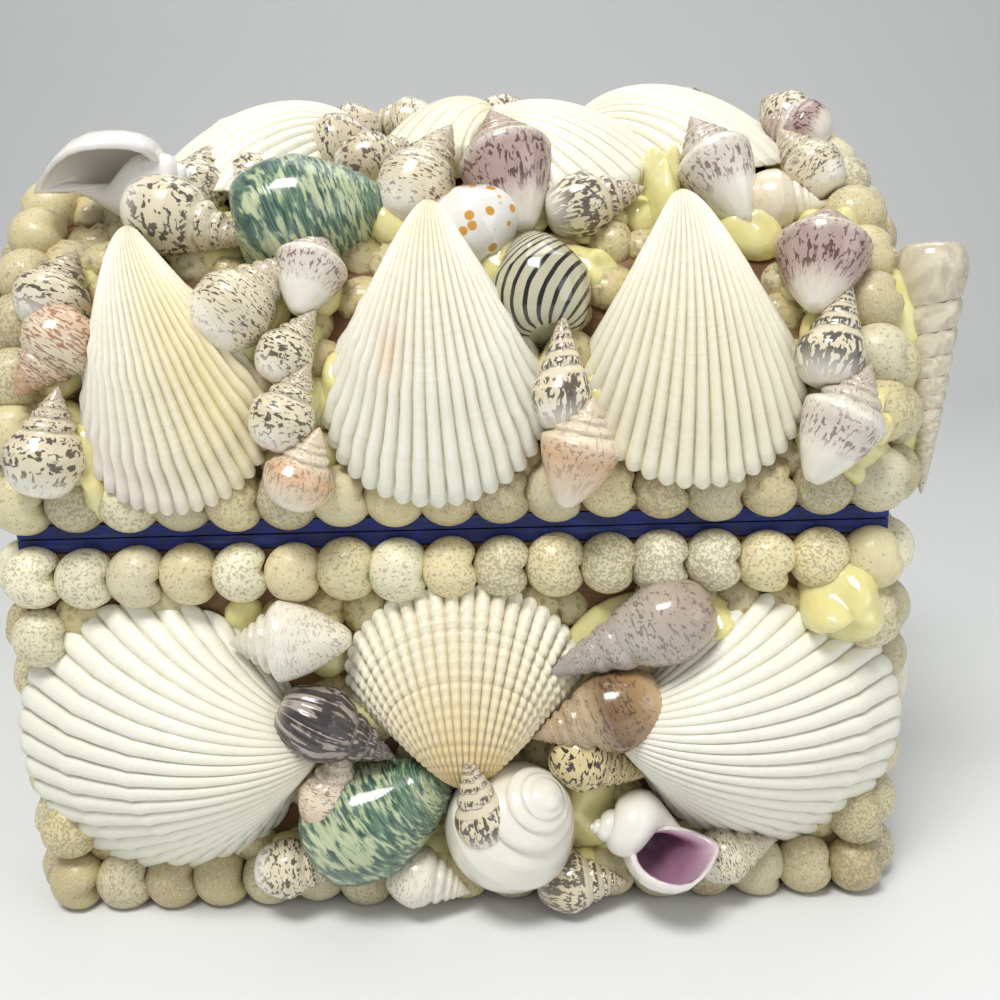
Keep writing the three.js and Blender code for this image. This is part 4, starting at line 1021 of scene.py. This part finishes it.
# Larger snails: node, place, make, how it lies, material, colours and slot.
SNAILS = [
    ("lid_green_turban", on_lid(-26.5, 65), coiled(32, 25, **TURBAN), {"turn": -78, "lift": 5.5},
     "turban", PLAIN, "turban"),
    ("lid_conch", on_lid(-68, 72),
     spiral(33, 23, turns=5, growth=1.85, tall=0.8, offset=0.46, canal=0.8, flare=0.12, shoulder=0.05),
     {"turn": -78, "roll": -156, "lift": 8.5}, "porcelain", PORCELAIN, "snail"),
    ("lid_striped_nerite", on_lid(19.2, 48), coiled(23, 20, **NERITE), {"turn": 8, "lift": 3.4},
     "nerite", PLAIN, "stripes"),
    ("base_moon_snail", on_front(12, 22.5),
     coiled(30, 28, **MOON), {"turn": -32, "tip": 34, "lift": 8.5}, "porcelain", PEARL, "snail"),
    ("base_green_turban", on_front(-16.3, 23.5), coiled(33, 25, **TURBAN), {"turn": -60, "lift": 6},
     "turban", PLAIN, "turban"),
    ("base_purple_snail", on_front(40, 19.5),
     spiral(27, 26, turns=4, growth=2.1, tall=0.68, offset=0.46, canal=0.45, flare=0.06, lip=0.9),
     {"turn": 86, "roll": 160, "lift": 9}, "porcelain", PURPLE_MOUTH, "snail"),
    ("base_middle_snail", on_front(4, 31), coiled(21, 11.5, **TURRET), {"turn": 11, "lift": 14.3},
     "banded", SPECKLED, "snail"),
]
for name, spot, turn in (
    ("end_right_auger", on_right_end(-53, 111), 176),
    ("end_left_auger", opposite(on_right_end(50, 111)), 184),
):
    SNAILS.append((name, spot, coiled(51, 14, **AUGER), {"turn": turn, "lift": 9.6}, "auger", PLAIN, "snail"))

# Small snails: place along and up the face, length, width, turn, lift, form, material and colours.
CLUSTERS = [
    ("lid_left_column_cluster", on_lid, [
        (-76, 48.5, 17, 14, -16, 2, NASSA, "dotted", SPECKLED),
        (-76, 35, 19, 14, 141, 3, NASSA, "reddish", RED),
        (-76, 20, 20, 14, -14, 4, NASSA, "wavy", SPECKLED),
    ]),
    ("lid_left_gap_cluster", on_lid, [
        (-38, 45, 23, 15, -44, 3, NASSA, "fine", SPECKLED),
        (-26, 50, 18, 13.5, -12, 3, CONE, "strokes", PALE_CONE),
        (-29, 36, 15.5, 10.5, -33, 3.5, NASSA, "dotted", SPECKLED),
        (-29.5, 25, 17, 12, -27, 4.5, NASSA, "dotted", SPECKLED),
        (-27, 14.5, 15.5, 13, -25, 5, NASSA, "strokes", ORANGE_CONE),
    ]),
    ("lid_right_gap_cluster", on_lid, [
        (22.8, 30, 22, 11, -2, 4.5, TURRET, "banded", SPECKLED),
        (25.5, 16, 20, 14.5, -16, 6, CONE, "strokes", ORANGE_CONE),
    ]),
    ("lid_right_column_cluster", on_lid, [
        (74.5, 50, 23, 17.5, -14, 2, CONE, "strokes", PURPLE_CONE),
        (75.5, 35.5, 21, 12.5, -18, 3.5, TURRET, "banded_grey", SPECKLED),
        (75, 19.5, 23, 15, -27, 5, CONE, "strokes", PALE_CONE),
    ]),
    ("lid_band_left_cluster", on_lid, [
        (-51.5, 62, 25, 15, -109, 2.5, NASSA, "wavy", SPECKLED),
        (-53, 80, 18, 12, -12, 0, NASSA, "dotted", SPECKLED),
        (-39, 82.5, 19, 12, -64, 0, NASSA, "dotted", SPECKLED),
        (-28, 91, 21, 14, 96, 3, NASSA, "dotted", WARM),
        (-14, 87, 20, 12, -72, 2, NASSA, "dotted", WARM),
    ]),
    ("lid_band_middle_cluster", on_lid, [
        (-4, 74, 25, 15.5, -28, 2, NASSA, "fine", SPECKLED),
        (7, 61, 19, 16, -60, 0, NERITE, "spotted", SPOTTED),
        (13.5, 72, 27, 18.5, 15, 3, CONE, "strokes", PURPLE_CONE),
        (31.5, 66, 20, 12.5, -77, 2, NASSA, "banded", SPECKLED),
    ]),
    ("lid_band_right_cluster", on_lid, [
        (56.5, 71, 25, 15, 22, 3, CONE, "strokes", PALE_CONE),
        (70, 66, 16, 13, -93, 0, NASSA, "strokes", JINGLE),
        (76, 76, 17.5, 12, 31, 2, NASSA, "fine", SPECKLED),
        (77, 90, 15, 13.5, 60, 3.5, NASSA, "strokes", PURPLE_CONE),
    ]),
    ("base_left_cluster", on_front, [
        (-33, 62.5, 23, 15.5, 91, 2, CONE, "fine", CREAM_CONE),
        (-24, 43.5, 24, 14.5, -119, 5, FLUTED, "ribbed", SLATE),
        (-26, 31.5, 18, 12, -20, 5, BEADED, "fine", PINKISH),
    ]),
    ("base_right_cluster", on_front, [
        (35, 61, 34, 16, 114, 2, CERITH, "fine", GREY),
        (28.5, 45, 26, 16, 109, 3.5, NASSA, "fine", BROWN),
        (29, 34, 19, 13, -110, 3, NASSA, "dotted", GOLDEN),
    ]),
    ("back_lid_cluster", on_back_lid,
     [(x, 75, 21, 14, 70 - 45 * i, 0, NASSA, "dotted", SPECKLED) for i, x in enumerate((-62, -31, 0, 31, 62))]),
    ("back_base_cluster", on_back, [
        (x, z, 19, 12.5, 80 + 160 * i, 1, NASSA, "wavy", SPECKLED)
        for i, (x, z) in enumerate(((-26, 20), (-9, 15.8), (10, 15.8), (27, 20)))
    ]),
]
for side, face, sign in (("right", on_right_end, 1), ("left", on_left_end, -1)):
    CLUSTERS.append((f"end_{side}_lid_cluster", face, [
        (-30 * sign, 124, 17, 12.5, 40 * sign, 0, NASSA, "dotted", SPECKLED),
        (-38 * sign, 106, 18, 12.5, 10 * sign, 0, NASSA, "fine", SPECKLED),
    ]))
    CLUSTERS.append((f"end_{side}_back_cluster", face, [
        (30 * sign, 123, 17, 12.5, -50 * sign, 0, NASSA, "wavy", SPECKLED),
        (38 * sign, 105, 17, 12.5, 160 * sign, 0, NASSA, "dotted", WARM),
    ]))


SNAIL_GROWTH = 1.08


# Snails on the base's lowest row and on the crown, which no solid stands for.
FOOT = [
    (-34, 11.7, 18, 11.5, -91, 5, NASSA, "dotted", SPECKLED),
    (-7, 8.2, 17, 12, -111, 5, NASSA, "fine", CREAM_CONE),
    (25.5, 7.1, 18, 12, -91, 5, NASSA, "banded", WARM),
    (58, 12.6, 16, 11, -72, 4, NASSA, "fine", SPECKLED),
]
CROWN = [
    (-27, 110, 19, 12.5, 95, 6, NASSA, "dotted", WARM),
    (-13, 114, 18, 12, 70, 8, NASSA, "fine", SPECKLED),
    (16, 114, 20, 12.5, -86, 8, NASSA, "dotted", SPECKLED),
    (54, 114, 20, 12.5, 98, 8, NASSA, "wavy", WARM),
    (78, 104, 17, 12, 20, 5, NASSA, "dotted", SPECKLED),
]


def add_small_snail(piece, face, entry):
    along, up, length, width, turn, lift, form, paint, colours = entry
    tip = 26 * math.cos(math.radians(turn)) if face is on_lid and up > 55 else 0
    seat = laid(face(along, up), turn=turn, lift=lift + axis_height(width, 0.5) + abs(tip) * 0.08,
                roll=RANDOM.normal(0, 30), tip=tip)
    piece.add(coiled(length * SNAIL_GROWTH, width * SNAIL_GROWTH, **form).placed(seat), paint, colours)
    if lift > 1:
        lump = blob(length * 0.8, width * 0.9, lift * 0.8 + 1.5)
        piece.add(lump.placed(laid(face(along, up), turn=turn, lift=0.6)), "glue")


# ---------------------------------------------------------------- glue and chips between the shells

# Lumps of glue: face, place along and up it, length, width, height and turn.
LID_GLUE = [
    (on_lid, -57, 73, 20, 13, 8, 20), (on_lid, -42, 36, 20, 12, 6, -40), (on_lid, -71, 14, 20, 14, 7, 10),
    (on_lid, -20, 27, 18, 10, 5, 10), (on_lid, 21, 74, 20, 12, 11, -10), (on_lid, 46, 73, 22, 10, 11, 0),
    (on_lid, 29, 52, 16, 12, 5, 60), (on_lid, 79, 57, 18, 12, 8, 20), (on_lid, 83, 21, 16, 12, 8, 0),
    (on_lid, 80, 12, 20, 14, 6, 60), (on_lid, 10, 56, 18, 14, 6, 30), (on_lid, -10, 66, 20, 16, 7, 70),
    (on_lid, 62, 62, 18, 14, 6, 50), (on_lid, 29, 22, 20, 12, 5, 10), (on_back_lid, -28, 40, 22, 12, 5, 0),
    (on_back_lid, 27, 36, 24, 12, 5, 10), (on_back_lid, 10, 74, 30, 14, 6, 80),
]
BASE_GLUE = [
    (on_front, 78.5, 66.5, 17, 19, 12, 15), (on_front, 32, 50, 22, 12, 5, -60), (on_front, 26, 20, 20, 18, 6, 0),
    (on_front, -27, 37, 20, 12, 6, 10), (on_front, 50, 60, 18, 12, 6, -50), (on_front, -12, 12, 22, 12, 6, 80),
    (on_back, 28, 38, 20, 12, 5, 0), (on_back, -28, 44, 22, 14, 5, 20), (on_right_end, 0, 40, 24, 12, 6, 0),
    (on_left_end, 0, 40, 24, 12, 6, 0),
]


def under_valve(point):
    """True where a valve hides a chip at this point of a face."""
    for _, spot, seat, form, _ in VALVES:
        x, y, z = laid(spot, **seat).inverted() @ point
        from_umbo = math.hypot(x, form["height"] / 2 - y)
        part = math.atan2(abs(x), form["height"] / 2 - y) / math.radians(form["spread"])
        if abs(z) < 12 and part < 1 and from_umbo < 0.9 * form["height"] * math.cos(part * math.pi / 2) ** form["taper"]:
            return True
    return False


def scatter(piece, face, across, up, step=8.6):
    """Chips of shell and drops of glue, sunk in the card's glue, over one face."""
    for x in np.arange(across[0], across[1] + 0.1, step):
        for y in np.arange(up[0], up[1] + 0.1, step):
            spot = face(x + RANDOM.normal(0, 1.3), y + RANDOM.normal(0, 1.3))
            if under_valve(spot.translation):
                continue
            seat = laid(spot, turn=RANDOM.uniform(0, 360), lift=RANDOM.uniform(-2.2, -0.6),
                        roll=RANDOM.normal(0, 20), tip=RANDOM.normal(0, 15))
            size = RANDOM.uniform(9, 13)
            tone = BEAD_TONES[RANDOM.integers(len(BEAD_TONES))]
            kind = "glue" if RANDOM.uniform() < 0.12 else "chips"
            piece.add(button(size, around=14, rows=9).placed(seat, (1, 1, 0.8)), kind, tone,
                      shade=RANDOM.uniform(0.75, 1.0))


# ---------------------------------------------------------------- making everything

make_camera()
make_studio()
BROWN_INK = (0.045, 0.028, 0.018)
PAINTS = {
    "bead": bead_paint(),
    "valve": valve_paint(),
    "dotted": snail_paint("dotted_snail", BROWN_INK, (26, 5.5, 1), 0.53, bare=0.2),
    "wavy": snail_paint("wavy_snail", BROWN_INK, (30, 3.5, 1), 0.54, bare=0.25),
    "fine": snail_paint("fine_snail", (0.07, 0.05, 0.035), (34, 12, 1), 0.56, bare=0.15),
    "reddish": snail_paint("reddish_snail", (0.26, 0.08, 0.03), (22, 9, 1), 0.52),
    "strokes": snail_paint("stroked_snail", (0.13, 0.07, 0.065), (60, 3, 1), 0.54),
    "banded": snail_paint("banded_snail", (0.06, 0.04, 0.03), (40, 2.5, 1), 0.48, bare=0.42),
    "banded_grey": snail_paint("banded_grey_snail", (0.04, 0.04, 0.045), (40, 2.5, 1), 0.46, bare=0.45),
    "ribbed": snail_paint("ribbed_snail", (0.05, 0.04, 0.04), (44, 0.7, 1), 0.44),
    "spotted": spotted_paint(),
    "porcelain": snail_paint("porcelain_snail", (0.6, 0.52, 0.4), (3, 9, 1), 0.7, roughness=0.16),
    "auger": auger_paint(),
    "turban": turban_paint(),
    "nerite": nerite_paint(),
    "chips": chip_paint(),
    "glue": glue_paint(),
    "lining": lining_paint(),
    "card": card_paint(),
}
make_floor()

for node, paint in (("base_box", "card"), ("lid_shell", "card"), ("base_lining", "lining"), ("lid_lining", "lining")):
    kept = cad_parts[node]
    kept.data.materials.clear()
    kept.data.materials.append(PAINTS[paint])

# The top row's colours carry painted light, and the bottom row's carry painted shade.
add_piece("base_top_row", bead_ring(BASE_TOP_ROW_Z, TOP_ROW_PAINTED_LIGHT), ["base_top_beads"], "bead")
add_piece("base_bottom_row", bead_ring(BASE_BOTTOM_ROW_Z, BOTTOM_ROW_PAINTED_SHADE), ["base_bottom_beads"], "bead")
add_piece("lid_row", bead_ring(LID_ROW_Z), ["lid_bottom_beads"], "bead")
CORNER_NODES = [f"corner_beads_{long_side}_{side}" for long_side in ("front", "back") for side in ("left", "right")]
add_piece("corner_rows", corner_beads(), CORNER_NODES, "bead")
add_piece("arch_rows", arch_beads(), ["arch_beads_left", "arch_beads_right"], "bead")

for name, spot, seat, form, tone in VALVES:
    piece = Piece()
    piece.add(valve(**form).placed(laid(spot, **seat)), "valve", tone)
    add_piece(f"shell_{name}", piece, [name], "valve")

for name, spot, shape, seat, paint, colours, slot in SNAILS:
    piece = Piece()
    piece.add(shape.placed(laid(spot, **seat)), paint, colours)
    if paint == "auger":
        piece.add(blob(*AUGER_BED).placed(laid(spot, turn=seat["turn"])), "glue")
    add_piece(f"shell_{name}", piece, [name], slot)

for name, face, entries in CLUSTERS:
    piece = Piece()
    for entry in entries:
        add_small_snail(piece, face, entry)
    add_piece(f"shells_{name}", piece, [name], "cluster")

for name, face, entries in (("foot_snails", on_front, FOOT), ("crown_snails", on_lid, CROWN)):
    piece = Piece()
    for entry in entries:
        add_small_snail(piece, face, entry)
    add_piece(name, piece, [], "cluster")

lid_chips, base_chips = Piece(), Piece()
for piece, spots in ((lid_chips, LID_GLUE), (base_chips, BASE_GLUE)):
    for face, along, up, length, width, height, turn in spots:
        piece.add(blob(length, width, height, 0.13).placed(laid(face(along, up), turn=turn)), "glue")
for face in (on_lid, on_back_lid):
    scatter(lid_chips, face, (-78, 78), (16, 106))
for face in (on_front, on_back):
    scatter(base_chips, face, (-78, 78), (14, 68))
for face in (on_right_end, on_left_end):
    scatter(base_chips, face, (-54, 54), (14, 68))
    for z in np.arange(99, 146, 8.6):
        reach = math.sqrt(56 ** 2 - (z - DOME_Z) ** 2) - 4
        scatter(lid_chips, face, (-reach, reach), (z, z))
add_piece("lid_chips", lid_chips, [], "cluster")
add_piece("base_chips", base_chips, [], "cluster")
